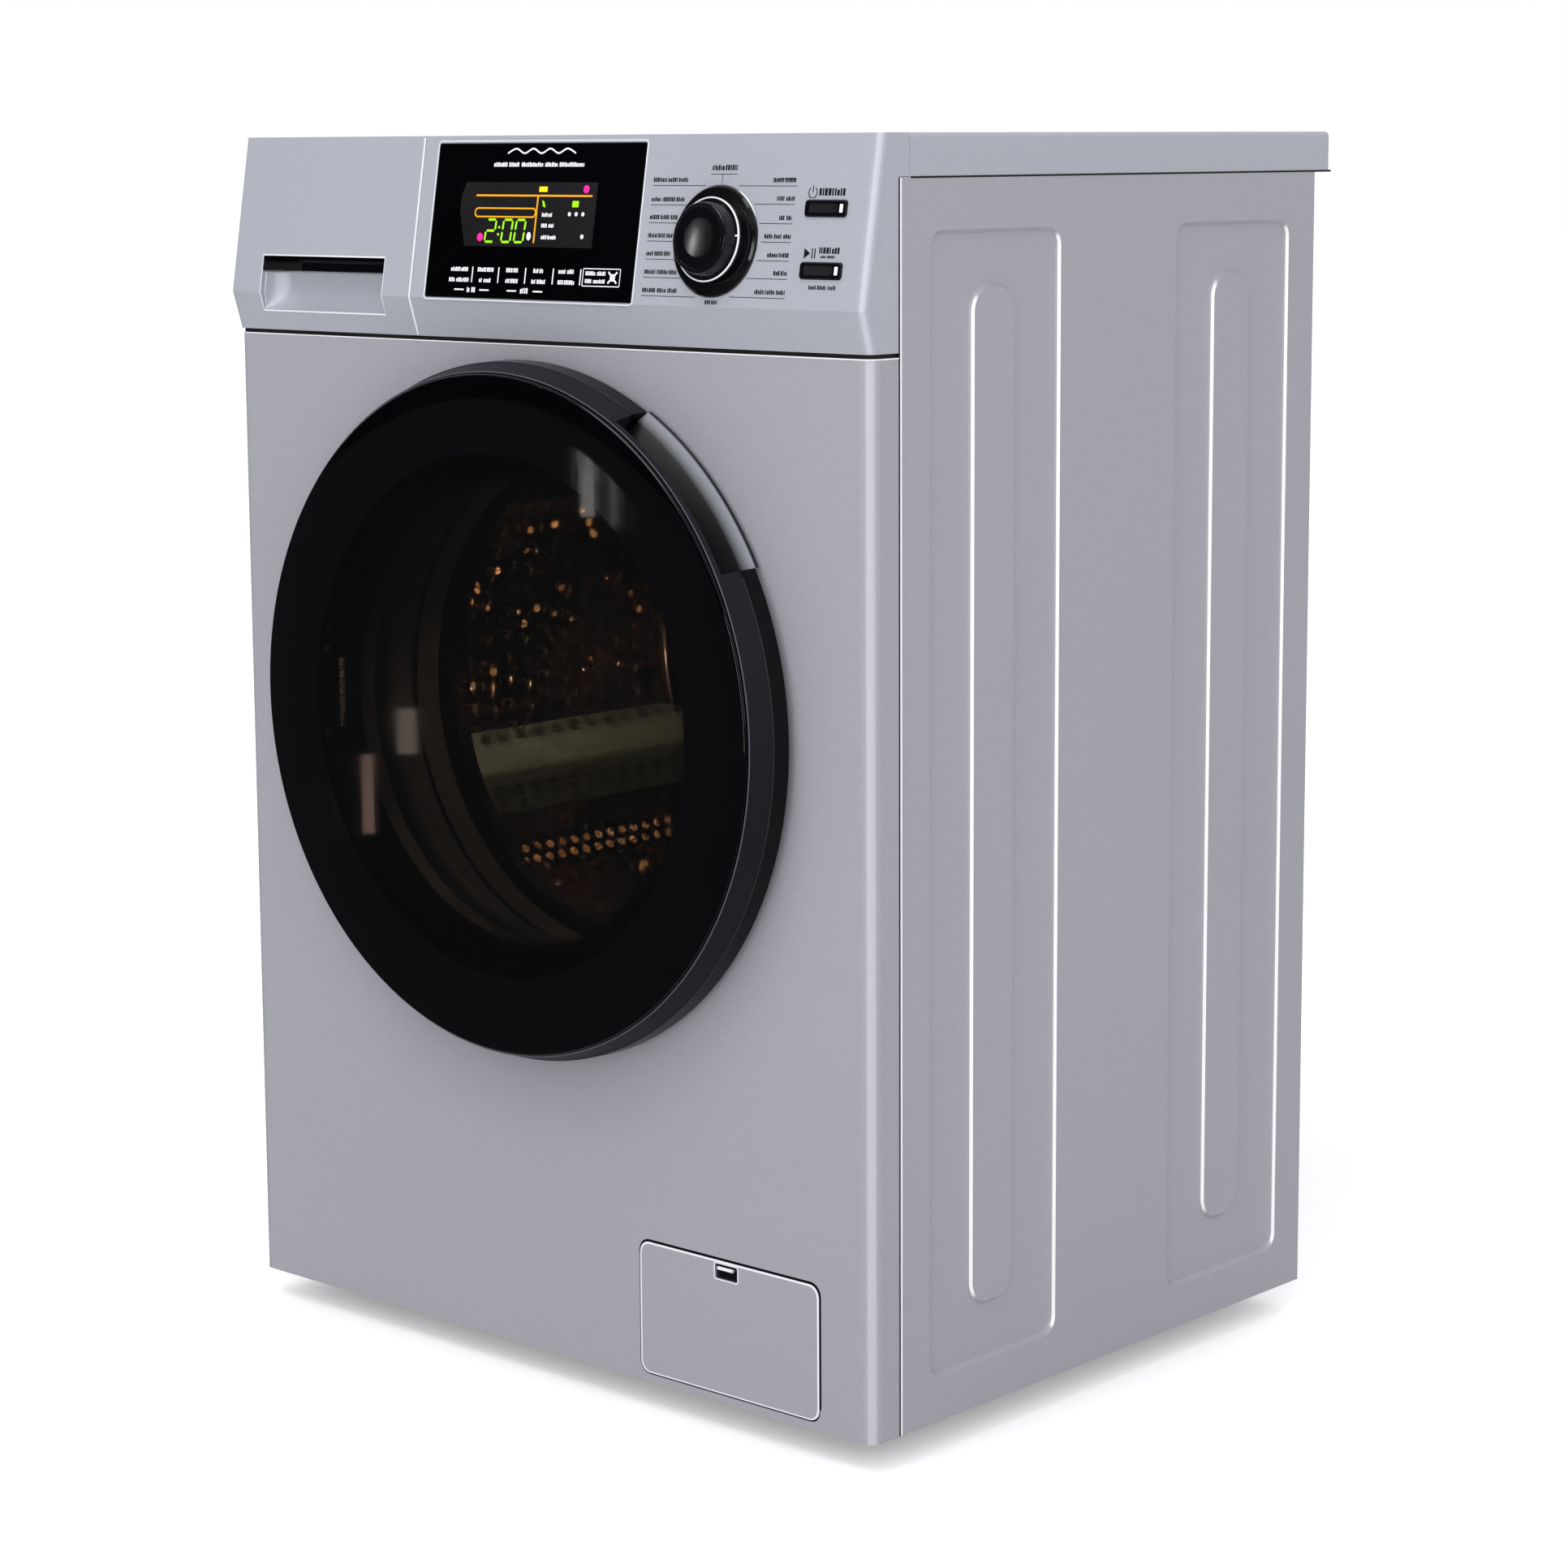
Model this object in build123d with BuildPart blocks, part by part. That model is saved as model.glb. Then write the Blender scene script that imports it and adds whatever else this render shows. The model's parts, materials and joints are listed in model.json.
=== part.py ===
from build123d import *
import os

# Front-loading all-in-one washer dryer, built as separate named pieces.
#
# Units are millimetres. The frame's origin is on the floor, under the middle of the whole
# machine: +Z is up, the door faces -Y, and +X is to the right of someone facing the door.

os.makedirs("parts", exist_ok=True)

# ---------------------------------------------------------------- driving dimensions
width = 597.0
height = 850.0
depth = 559.0
door_proud = 40.0          # door glass in front of the front panel's face
sheet = 1.2                # painted steel sheet
foot_height = 20.0         # floor to the lower edge of the panels
side_start = 27.7          # side panel's front edge, behind the front face
side_end = 476.5           # side panel's rear edge, behind the front face
top_start = 36.9           # worktop's front edge, behind the front face
top_end = 496.6            # worktop's rear edge, behind the front face
top_thick = 27.0
console_low = 715.5        # lower edge of the console
seam = 3.0                 # shadow gap between console and front panel
divider_x = -107.5         # seam between the drawer front and the console
drum_z = 467.0             # height of the door, tub and drum axis
door_r = 236.0
opening_r = 184.0          # door opening in the front panel
tub_r = 250.0
tub_wall = 4.0
drum_r = 236.0
mouth_r = 165.0
hinge_x = -222.0
hinge_out = 22.0           # hinge pin in front of the front face
run = 0.05                 # radial clearance of a running fit
gap = 0.3                  # clearance between pieces of different bodies
facet_low = (-8.0, 742.0)  # console's forward crease: distance behind the face, height
facet_high = (10.3, 850.0)

half_width = width / 2
front_y = -depth / 2 + door_proud
side_top = height - top_thick
pieces = {}


def behind(distance):
    """Y of a plane this far behind the front panel's face; negative is in front of it."""
    return front_y + distance


def wall(distance):
    """Upright sketch plane facing the viewer: sketch X is X, sketch Y is Z."""
    return Plane.XZ.offset(-behind(distance))


def tilted(along_x, height_on_facet, lift=0.0):
    """Sketch plane on the console's leaning upper facet, lifted off it along its normal."""
    run_y = facet_high[0] - facet_low[0]
    run_z = facet_high[1] - facet_low[1]
    normal = Vector(0, -run_z, run_y).normalized()
    share = (height_on_facet - facet_low[1]) / run_z
    on_face = Vector(along_x, behind(facet_low[0] + share * run_y), height_on_facet)
    return Plane(origin=on_face + normal * lift, x_dir=(1, 0, 0), z_dir=normal)


def spun(points, start_at=0.0, turn=360.0):
    """Ring or shell turned about the drum axis from (distance behind face, radius) points."""
    with BuildPart() as body:
        with BuildSketch(Plane.YZ):
            with BuildLine():
                Polyline([(behind(y), drum_z + r) for y, r in points], close=True)
            make_face()
        revolve(axis=drum_axis, revolution_arc=turn)
    return body.part.rotate(drum_axis, start_at)


def keep(label, piece):
    """Label a finished piece and remember it for export."""
    piece.label = label
    pieces[label] = piece


drum_axis = Axis((0, 0, drum_z), (0, 1, 0))

# ---------------------------------------------------------------- cabinet: side panels
recess_depth = 3.0
recess_slope = 40.0
recess_size = (132.0, 740.0)
rib_size = (45.5, 668.0)
recess_places = [(122.5, 420.0), (380.0, 420.0)]
rib_places = [(120.7, 421.5), (378.5, 422.5)]
side_mid = (behind((side_start + side_end) / 2), (foot_height + side_top) / 2)
recess_spots = [(behind(y), z) for y, z in recess_places]
rib_spots = [(behind(y), z) for y, z in rib_places]
flange = 14.0

with BuildPart() as side_panel_right:
    with BuildSketch(Plane.YZ.offset(half_width)):
        with Locations(side_mid):
            Rectangle(side_end - side_start, side_top - foot_height)
    extrude(amount=-sheet)
    with BuildSketch(Plane.YZ.offset(half_width - sheet)):
        with Locations(*recess_spots):
            RectangleRounded(recess_size[0] + 2, recess_size[1] + 2, 12)
    extrude(amount=-recess_depth)
    for spot in recess_spots:
        with BuildSketch(Plane.YZ.offset(half_width)):
            with Locations(spot):
                RectangleRounded(*recess_size, 12)
        extrude(amount=-recess_depth, taper=recess_slope, mode=Mode.SUBTRACT)
    for spot in rib_spots:
        with BuildSketch(Plane.YZ.offset(half_width - recess_depth)):
            with Locations(spot):
                RectangleRounded(*rib_size, 18)
        extrude(amount=recess_depth, taper=recess_slope)
    rear_edge = behind(side_end)
    with BuildSketch(Plane.XY.offset(foot_height)):
        with Locations((half_width - flange / 2, rear_edge - sheet / 2)):
            Rectangle(flange, sheet)
    extrude(amount=side_top - foot_height)
    with BuildSketch(Plane.XY.offset(foot_height)):
        with Locations((half_width - flange, side_mid[0])):
            Rectangle(2 * flange, side_end - side_start)
    extrude(amount=sheet)
keep("side_panel_right", side_panel_right.part)

with BuildPart() as side_panel_left:
    mirror(side_panel_right.part, about=Plane.YZ)
keep("side_panel_left", side_panel_left.part)

# ---------------------------------------------------------------- cabinet: front panel
panel_top = console_low - seam
flap_x = 173.0
flap_z = 71.5
flap_w = 160.0
flap_h = 91.0
flap_gap = 1.2
corner_r = 9.0
front_flange = side_start - gap
lock_x = 211.0

with BuildPart() as front_panel:
    with BuildSketch(Plane.XY.offset(foot_height)):
        with Locations((0, behind(front_flange / 2))):
            Rectangle(width, front_flange)
        fillet(vertices().group_by(Axis.Y)[0], corner_r)
    extrude(amount=panel_top - foot_height)
    with BuildSketch(Plane.XY.offset(foot_height + sheet)):
        with Locations((0, behind(sheet + front_flange / 2))):
            Rectangle(width - 2 * sheet, front_flange)
        fillet(vertices().group_by(Axis.Y)[0], corner_r - sheet)
    extrude(amount=panel_top - foot_height - 2 * sheet, mode=Mode.SUBTRACT)
    with BuildSketch(wall(sheet)):
        with Locations((0, drum_z)):
            Circle(opening_r)
        with Locations((flap_x, flap_z)):
            RectangleRounded(flap_w + 2 * flap_gap, flap_h + 2 * flap_gap, 8 + flap_gap)
        with Locations((lock_x, drum_z)):
            RectangleRounded(30, 36, 3)
    extrude(amount=2 * sheet, both=True, mode=Mode.SUBTRACT)
keep("front_panel", front_panel.part)

# ---------------------------------------------------------------- cabinet: base and rear
pan_half = 270.0
pan_front = 28.2
pan_back = 452.0
pan_low = 12.5
pan_high = 45.0
pan_wall = 2.0
foot_x = 232.0
foot_rows = (78.0, 405.0)
stem_r = 5.0
foot_spots = [(x, behind(y)) for y in foot_rows for x in (-foot_x, foot_x)]
pan_mid = behind((pan_front + pan_back) / 2)
pan_length = pan_back - pan_front

with BuildPart() as base_pan:
    with BuildSketch(Plane.XY.offset(pan_low)):
        with Locations((0, pan_mid)):
            RectangleRounded(2 * pan_half, pan_length, 12)
    extrude(amount=pan_high - pan_low)
    with BuildSketch(Plane.XY.offset(pan_low + pan_wall)):
        with Locations((0, pan_mid)):
            RectangleRounded(2 * (pan_half - pan_wall), pan_length - 2 * pan_wall, 10)
    extrude(amount=pan_high - pan_low, mode=Mode.SUBTRACT)
    with BuildSketch(Plane.XY.offset(pan_low)):
        with Locations(*foot_spots):
            Circle(15)
    extrude(amount=pan_high - pan_low - 4)
    with Locations(*[(x, y, pan_low) for x, y in foot_spots]):
        Hole(stem_r + run, depth=2 * pan_high)
keep("base_pan", base_pan.part)

rear_face = side_end - sheet
cover_size = (330.0, 392.0)
cover_z = 430.0
transit_spots = [(x, z) for z in (262.0, 640.0) for x in (-215.0, 215.0)]
inlet_spots = [(-238.0, 776.0), (-186.0, 776.0)]
drain_spot = (-246.0, 690.0)
mains_spot = (232.0, 150.0)
inlet_hole_r = 19.0

with BuildPart() as rear_panel:
    with BuildSketch(wall(rear_face)):
        with Locations((0, (foot_height + side_top) / 2)):
            Rectangle(2 * (half_width - sheet) - 0.4, side_top - foot_height - 2.8)
        with Locations((0, cover_z)):
            RectangleRounded(cover_size[0] - 30, cover_size[1] - 30, 30, mode=Mode.SUBTRACT)
        with Locations(*transit_spots):
            Circle(14, mode=Mode.SUBTRACT)
        with Locations(*inlet_spots):
            Circle(inlet_hole_r, mode=Mode.SUBTRACT)
        with Locations(drain_spot):
            Circle(14, mode=Mode.SUBTRACT)
        with Locations(mains_spot):
            Circle(9, mode=Mode.SUBTRACT)
    extrude(amount=sheet)
keep("rear_panel", rear_panel.part)

cover_bulge = 26.0
with BuildPart() as rear_access_cover:
    with BuildSketch(wall(side_end + 1.2)):
        with Locations((0, cover_z)):
            RectangleRounded(*cover_size, 38)
    extrude(amount=1.2)
    with BuildSketch(wall(side_end)):
        with Locations((0, cover_z)):
            RectangleRounded(cover_size[0] - 44, cover_size[1] - 44, 30)
    extrude(amount=-cover_bulge, taper=25)
    with BuildSketch(wall(side_end - 0.5)):
        with Locations((0, cover_z)):
            RectangleRounded(cover_size[0] - 48, cover_size[1] - 48, 28)
    extrude(amount=-(cover_bulge - 1.0), taper=25, mode=Mode.SUBTRACT)
keep("rear_access_cover", rear_access_cover.part)

# ---------------------------------------------------------------- cabinet: worktop, rails
with BuildPart() as top_panel:
    top_mid = behind((top_start + top_end) / 2)
    with BuildSketch(Plane.XY.offset(side_top)):
        with Locations((0, top_mid)):
            Rectangle(width, top_end - top_start)
        fillet(vertices().group_by(Axis.Y)[-1], 5)
    extrude(amount=top_thick)
    upper_edges = faces().sort_by(Axis.Z)[-1].edges()
    fillet(upper_edges.filter_by(lambda e: e.center().Y > behind(top_start + 1)), 3)
    with BuildSketch(Plane.XY.offset(side_top)):
        with Locations((0, top_mid)):
            Rectangle(width - 40, top_end - top_start - 50)
    extrude(amount=top_thick - 18, mode=Mode.SUBTRACT)
keep("top_panel", top_panel.part)

rail_x = 272.0
rail_low = 804.0
rail_mid = behind(250)
spring_y = 232.0
with BuildPart() as top_rails:
    with BuildSketch(Plane.XY.offset(rail_low)):
        with Locations((-rail_x, rail_mid), (rail_x, rail_mid)):
            Rectangle(40, 380)
    extrude(amount=side_top - rail_low)
    with BuildSketch(Plane.XY.offset(rail_low)):
        with Locations((-rail_x - 1, rail_mid), (rail_x + 1, rail_mid)):
            Rectangle(36, 376)
    extrude(amount=side_top - rail_low - 2, mode=Mode.SUBTRACT)
    # webs that the springs hook into
    with BuildSketch(Plane.XY.offset(rail_low + 2)):
        with Locations((-rail_x, behind(spring_y)), (rail_x, behind(spring_y))):
            Rectangle(34, 24)
    extrude(amount=8)
keep("top_rails", top_rails.part)

# ---------------------------------------------------------------- cabinet: console
skin = 3.0
wing_low = 27.4
wing_high = 36.6
drawer_back = 21.5
knob_at = (171.0, 783.0)
power_at = (261.0, 804.0)
start_at = (262.0, 766.0)
button_size = (34.0, 10.0)
window_mid = (4.5, 793.8)
window_size = (195.0, 103.5)
window_thick = 2.6
bezel_r = 35.0
bezel_thick = 3.2
knob_r = 27.0
skirt_thick = 4.5
cap_r = 24.0               # knob's cap on its skirt
cap_high = 9.0


def fascia_outline(rear_points):
    """Side profile of the leaning fascia, closed by the given rear points, top one first."""
    crease = (behind(facet_low[0]), facet_low[1])
    brow = (behind(facet_high[0]), facet_high[1])
    return [(behind(0), console_low), crease, brow] + rear_points


console_rear = [
    (behind(wing_high), height),
    (behind(wing_high), side_top + gap),
    (behind(wing_low), side_top + gap),
    (behind(wing_low), console_low),
]
drawer_rear = [(behind(drawer_back), height), (behind(drawer_back), console_low)]


def console_hollow(back):
    """The same profile one skin further in, open to the rear."""
    return [
        (behind(skin), console_low + skin),
        (behind(facet_low[0] + skin), facet_low[1]),
        (behind(facet_high[0] + skin), height - skin),
        (behind(back), height - skin),
        (behind(back), console_low + skin),
    ]


with BuildPart() as control_console:
    with BuildSketch(Plane.YZ.offset(divider_x)):
        with BuildLine():
            Polyline(fascia_outline(console_rear), close=True)
        make_face()
    extrude(amount=half_width - divider_x)
    wing_edges = edges().filter_by(lambda e: abs(e.center().X - half_width) < 0.01)
    fillet(wing_edges.filter_by(lambda e: e.center().Y < behind(2)), 6)
    with BuildSketch(Plane.YZ.offset(divider_x + skin)):
        with BuildLine():
            Polyline(console_hollow(60), close=True)
        make_face()
    extrude(amount=half_width - divider_x - 2 * skin, mode=Mode.SUBTRACT)
    # frame left of the divider, which the drawer front closes against
    with BuildSketch(wall(wing_high)):
        with BuildLine():
            left_low = (-half_width, console_low)
            left_high = (-half_width, height)
            right_low = (divider_x + 0.5, console_low)
            right_high = (divider_x + 0.5, height)
            Polyline([left_low, left_high, right_high, right_low], close=True)
        make_face()
        with BuildLine():
            inner = [(-half_width + skin, console_low + skin), (-half_width + skin, height - skin)]
            outer = [(divider_x, height - skin), (divider_x, console_low + skin)]
            Polyline(inner + outer, close=True)
        make_face(mode=Mode.SUBTRACT)
    extrude(amount=wing_high - drawer_back - 1)
    # step that lets the side panel's top and the worktop's front edge in
    with BuildSketch(Plane.YZ.offset(-half_width - 1)):
        with BuildLine():
            low_back = (behind(wing_low), console_low - 1)
            high_back = (behind(wing_low), side_top + gap)
            far_high = (behind(wing_high + 1), side_top + gap)
            far_low = (behind(wing_high + 1), console_low - 1)
            Polyline([low_back, high_back, far_high, far_low], close=True)
        make_face()
    extrude(amount=half_width + 1 + divider_x - 1, mode=Mode.SUBTRACT)
    # window pocket and the opening for the display behind it
    with BuildSketch(tilted(*window_mid, lift=-window_thick + 0.4)):
        Rectangle(window_size[0] + 0.6, window_size[1] + 0.6)
    extrude(amount=20, mode=Mode.SUBTRACT)
    with BuildSketch(tilted(*window_mid, lift=-8)):
        Rectangle(150, 62)
    extrude(amount=20, mode=Mode.SUBTRACT)
    with BuildSketch(tilted(*knob_at, lift=-8)):
        Circle(7)
    extrude(amount=20, mode=Mode.SUBTRACT)
    for place in (power_at, start_at):
        with BuildSketch(tilted(*place, lift=-8)):
            RectangleRounded(button_size[0] + 0.8, button_size[1] + 0.8, 2.4)
        extrude(amount=20, mode=Mode.SUBTRACT)
keep("control_console", control_console.part)

with BuildPart() as display_window:
    with BuildSketch(tilted(*window_mid, lift=-window_thick + 0.4)):
        RectangleRounded(*window_size, 2)
    extrude(amount=window_thick)
    fillet(faces().sort_by(Axis.Y)[0].edges(), 0.5)
keep("display_window", display_window.part)

with BuildPart() as control_board:
    with BuildSketch(tilted(*window_mid, lift=-10)):
        Rectangle(148, 60)
    extrude(amount=6.8)
    with BuildSketch(tilted(95, window_mid[1], lift=-20)):
        Rectangle(360, 84)
    extrude(amount=10)
    with BuildSketch(tilted(*knob_at, lift=-24)):
        Circle(7.5)
    extrude(amount=40, mode=Mode.SUBTRACT)
keep("control_board", control_board.part)

with BuildPart() as knob_bezel:
    with BuildSketch(tilted(*knob_at)):
        Circle(bezel_r)
        Circle(8, mode=Mode.SUBTRACT)
    extrude(amount=bezel_thick)
    chamfer(edges().filter_by(GeomType.CIRCLE).group_by(SortBy.RADIUS)[-1].sort_by(Axis.Y)[0], 1.2)
keep("knob_bezel", knob_bezel.part)

# knob: shaft, skirt and domed cap
with BuildPart() as program_knob:
    with BuildSketch(tilted(*knob_at, lift=bezel_thick + gap)):
        Circle(knob_r)
    extrude(amount=skirt_thick)
    with BuildSketch(tilted(*knob_at, lift=bezel_thick + gap + skirt_thick)):
        Circle(cap_r)
    extrude(amount=cap_high, taper=10)
    fillet(edges().filter_by(GeomType.CIRCLE).sort_by(Axis.Y)[0], 2.0)
    with BuildSketch(tilted(*knob_at, lift=-22)):
        Circle(5)
    extrude(amount=27)
keep("program_knob", program_knob.part)

for label, place in (("power_button", power_at), ("start_button", start_at)):
    with BuildPart() as push_button:
        with BuildSketch(tilted(*place, lift=-5.5)):
            RectangleRounded(*button_size, 2)
        extrude(amount=7.1)
        fillet(push_button.faces().sort_by(Axis.Y)[0].edges(), 0.8)
    keep(label, push_button.part)

# ---------------------------------------------------------------- detergent drawer
drawer_right = divider_x - 1.0
grip_low = 729.0
grip_high = 768.0
grip_mid_x = -201.0
grip_wide = 128.0
with BuildPart() as drawer_front:
    with BuildSketch(Plane.YZ.offset(-half_width)):
        with BuildLine():
            Polyline(fascia_outline(drawer_rear), close=True)
        make_face()
    extrude(amount=half_width + drawer_right)
    outer_edges = edges().filter_by(lambda e: abs(e.center().X + half_width) < 0.01)
    fillet(outer_edges.filter_by(lambda e: e.center().Y < behind(2)), 6)
    with BuildSketch(Plane.YZ.offset(-half_width + skin)):
        with BuildLine():
            Polyline(console_hollow(60), close=True)
        make_face()
    extrude(amount=half_width + drawer_right - 2 * skin, mode=Mode.SUBTRACT)
    # block behind the grip, then the scooped finger pocket cut into it
    with BuildSketch(Plane.YZ.offset(grip_mid_x - grip_wide / 2 - 5)):
        with BuildLine():
            low_corner = [(behind(skin - 5), grip_low - 6), (behind(-8 + skin), facet_low[1])]
            high_corner = [(behind(-1), 783), (behind(drawer_back), 783)]
            Polyline(low_corner + high_corner + [(behind(drawer_back), grip_low - 6)], close=True)
        make_face()
    extrude(amount=grip_wide + 10)
    with BuildSketch(Plane.YZ.offset(grip_mid_x - grip_wide / 2)):
        with BuildLine():
            start = (behind(-12), grip_low)
            lip = (behind(-4.1), grip_low)
            throat = (behind(13), grip_high - 12)
            Line(start, lip)
            TangentArc(lip, throat, tangent=(1, 0.12))
            Line(throat, (behind(17), 779))
            Line((behind(17), 779), (behind(3), 779))
            Line((behind(3), 779), (behind(0.5), grip_high))
            Line((behind(0.5), grip_high), (behind(-12), grip_high))
            Line((behind(-12), grip_high), start)
        make_face()
    extrude(amount=grip_wide, mode=Mode.SUBTRACT)
keep("drawer_front", drawer_front.part)

tray_left = -286.0
tray_right = -118.0
tray_low = 736.0
tray_high = 800.0
tray_end = 190.0
tray_mid = behind((drawer_back + tray_end) / 2)
tray_size = (tray_right - tray_left, tray_end - drawer_back)
cell_walls = (-286.0, -222.0, -178.0, -118.0)
with BuildPart() as drawer_tray:
    with BuildSketch(Plane.XY.offset(tray_low)):
        with Locations(((tray_left + tray_right) / 2, tray_mid)):
            Rectangle(*tray_size)
    extrude(amount=tray_high - tray_low)
    for low_x, high_x in zip(cell_walls, cell_walls[1:]):
        with BuildSketch(Plane.XY.offset(tray_low + 3)):
            with Locations(((low_x + high_x) / 2, tray_mid)):
                RectangleRounded(high_x - low_x - 4, tray_size[1] - 6, 8)
        extrude(amount=tray_high - tray_low, mode=Mode.SUBTRACT)
keep("drawer_tray", drawer_tray.part)

house_front = 44.0
house_back = 206.0
house_low = 730.0
house_x = -202.0
with BuildPart() as dispenser_housing:
    house_mid = behind((house_front + house_back) / 2)
    with BuildSketch(Plane.XY.offset(house_low)):
        with Locations((house_x, house_mid)):
            Rectangle(180, house_back - house_front)
    extrude(amount=72)
    with BuildSketch(Plane.XY.offset(house_low + 3)):
        with Locations((house_x, house_mid - 4)):
            Rectangle(174, house_back - house_front)
    extrude(amount=72, mode=Mode.SUBTRACT)
keep("dispenser_housing", dispenser_housing.part)

# ---------------------------------------------------------------- water and power fittings
thread_r = 13.2
with BuildPart() as inlet_valves:
    for x, z in inlet_spots:
        with BuildSketch(wall(depth - door_proud)):
            with Locations((x, z)):
                Circle(thread_r)
        extrude(amount=50)
        with BuildSketch(wall(rear_face - sheet - 0.2)):
            with Locations((x, z)):
                RectangleRounded(42, 42, 6)
        extrude(amount=34)
        with BuildSketch(wall(rear_face - sheet - 30)):
            with Locations((x, z - 4)):
                Circle(12)
        extrude(amount=60)
    for x, z in inlet_spots:
        with BuildSketch(wall(depth - door_proud)):
            with Locations((x, z)):
                Circle(9)
        extrude(amount=14, mode=Mode.SUBTRACT)
keep("inlet_valves", inlet_valves.part)

spigot_r = 10.5
with BuildPart() as drain_outlet:
    with BuildSketch(wall(side_end + 30)):
        with Locations(drain_spot):
            Circle(spigot_r)
    extrude(amount=60)
    with BuildSketch(wall(side_end + 3)):
        with Locations(drain_spot):
            Circle(18)
    extrude(amount=3)
    with BuildSketch(wall(side_end + 30)):
        with Locations(drain_spot):
            Circle(8)
    extrude(amount=50, mode=Mode.SUBTRACT)
keep("drain_outlet", drain_outlet.part)

with BuildPart() as mains_gland:
    with BuildSketch(wall(side_end + 3)):
        with Locations(mains_spot):
            RectangleRounded(30, 24, 6)
    extrude(amount=3)
    with BuildSketch(wall(side_end + 12)):
        with Locations(mains_spot):
            Circle(8.6)
    extrude(amount=26)
    with BuildSketch(wall(side_end + 12)):
        with Locations(mains_spot):
            Circle(4.2)
    extrude(amount=18, mode=Mode.SUBTRACT)
keep("mains_gland", mains_gland.part)

with BuildPart() as transit_bolt_caps:
    for spot in transit_spots:
        with BuildSketch(wall(side_end + 3)):
            with Locations(spot):
                Circle(18)
        extrude(amount=3)
        with BuildSketch(wall(side_end)):
            with Locations(spot):
                Circle(13.8)
        extrude(amount=8)
keep("transit_bolt_caps", transit_bolt_caps.part)

cover_screws = [(x, cover_z + z) for x in (-156, 156) for z in (-180, 0, 180)]
edge_screws = [(x, z) for x in (-284, 284) for z in (60, 430, 800)]
with BuildPart() as cabinet_screws:
    for spots, face in ((cover_screws, side_end + 1.2), (edge_screws, side_end)):
        for spot in spots:
            with BuildSketch(wall(face + 2.4)):
                with Locations(spot):
                    Circle(4.2)
                    RegularPolygon(1.6, 6, mode=Mode.SUBTRACT)
            extrude(amount=2.4)
keep("cabinet_screws", cabinet_screws.part)

# ---------------------------------------------------------------- service flap and drain pump
pivot_back = 3.4
pivot_z = flap_z - flap_h / 2 + 7.5
flap_thick = 2.6
trunnion_r = 1.6
notch_at = (171.5, 109.5)
notch_size = (21.0, 11.0)
filter_at = (173.0, 78.0)
frame_back = 27.5
flap_side = flap_w / 2
frame_low = flap_z - flap_h / 2 - 4.6
frame_high = flap_z + flap_h / 2 + 7
frame_mid = (frame_low + frame_high) / 2

with BuildPart() as service_flap:
    with BuildSketch(wall(flap_thick)):
        with Locations((flap_x, flap_z)):
            RectangleRounded(flap_w, flap_h, 8)
    extrude(amount=flap_thick)
    fillet(faces().sort_by(Axis.Y)[0].edges(), 0.8)
    # finger notch, cut right through
    with BuildSketch(wall(flap_thick + 1)):
        with Locations(notch_at):
            RectangleRounded(*notch_size, 1.5)
    extrude(amount=flap_thick + 2, mode=Mode.SUBTRACT)
    for side in (-1, 1):
        with BuildSketch(Plane.YZ.offset(flap_x + side * flap_side - 4)):
            with Locations((behind(pivot_back), pivot_z)):
                Circle(trunnion_r)
        extrude(amount=8)
        with BuildSketch(Plane.YZ.offset(flap_x + side * (flap_side - 2) - 2)):
            with Locations((behind((flap_thick + pivot_back) / 2), pivot_z)):
                Rectangle(pivot_back - flap_thick + 0.4, 2 * trunnion_r)
        extrude(amount=4)
keep("service_flap", service_flap.part)

with BuildPart() as flap_frame:
    with BuildSketch(wall(frame_back)):
        with Locations((flap_x, frame_mid)):
            Rectangle(flap_w + 16, frame_high - frame_low)
    extrude(amount=frame_back - sheet - 0.2)
    with BuildSketch(wall(frame_back - 2.5)):
        with Locations((flap_x, frame_mid + 0.2)):
            Rectangle(flap_w + 3, frame_high - frame_low - 2.8)
    extrude(amount=frame_back, mode=Mode.SUBTRACT)
    with BuildSketch(wall(frame_back + 1)):
        with Locations(filter_at):
            Circle(29.5)
    extrude(amount=5, mode=Mode.SUBTRACT)
    with BuildSketch(Plane.YZ.offset(flap_x - flap_side - 20)):
        with Locations((behind(pivot_back), pivot_z)):
            Circle(trunnion_r + run)
    extrude(amount=flap_w + 40, mode=Mode.SUBTRACT)
keep("flap_frame", flap_frame.part)

filter_r = 22.9
with BuildPart() as filter_cap:
    with BuildSketch(wall(22)):
        with Locations(filter_at):
            Circle(28)
    extrude(amount=8)
    with BuildSketch(wall(14)):
        with Locations(filter_at):
            RectangleRounded(46, 9, 3)
    extrude(amount=7)
    with BuildSketch(wall(62)):
        with Locations(filter_at):
            Circle(filter_r)
    extrude(amount=40)
    with BuildSketch(wall(63)):
        with Locations(filter_at):
            Circle(filter_r - 3)
    extrude(amount=32, mode=Mode.SUBTRACT)
keep("filter_cap", filter_cap.part)

pump_inlet_back = 78.0
with BuildPart() as drain_pump:
    with BuildSketch(wall(100)):
        with Locations(filter_at):
            Circle(31)
    extrude(amount=100 - 31)
    with BuildSketch(wall(160)):
        with Locations(filter_at):
            Circle(26)
    extrude(amount=62)
    with BuildSketch(Plane.XY.offset(pan_low + pan_wall)):
        with Locations((filter_at[0], behind(90))):
            Rectangle(44, 60)
    extrude(amount=36)
    with BuildSketch(Plane.XY.offset(filter_at[1])):
        with Locations((filter_at[0], behind(pump_inlet_back))):
            Circle(19)
    extrude(amount=52)
    with BuildSketch(wall(66)):
        with Locations(filter_at):
            Circle(filter_r + gap)
    extrude(amount=50, mode=Mode.SUBTRACT)
keep("drain_pump", drain_pump.part)

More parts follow.
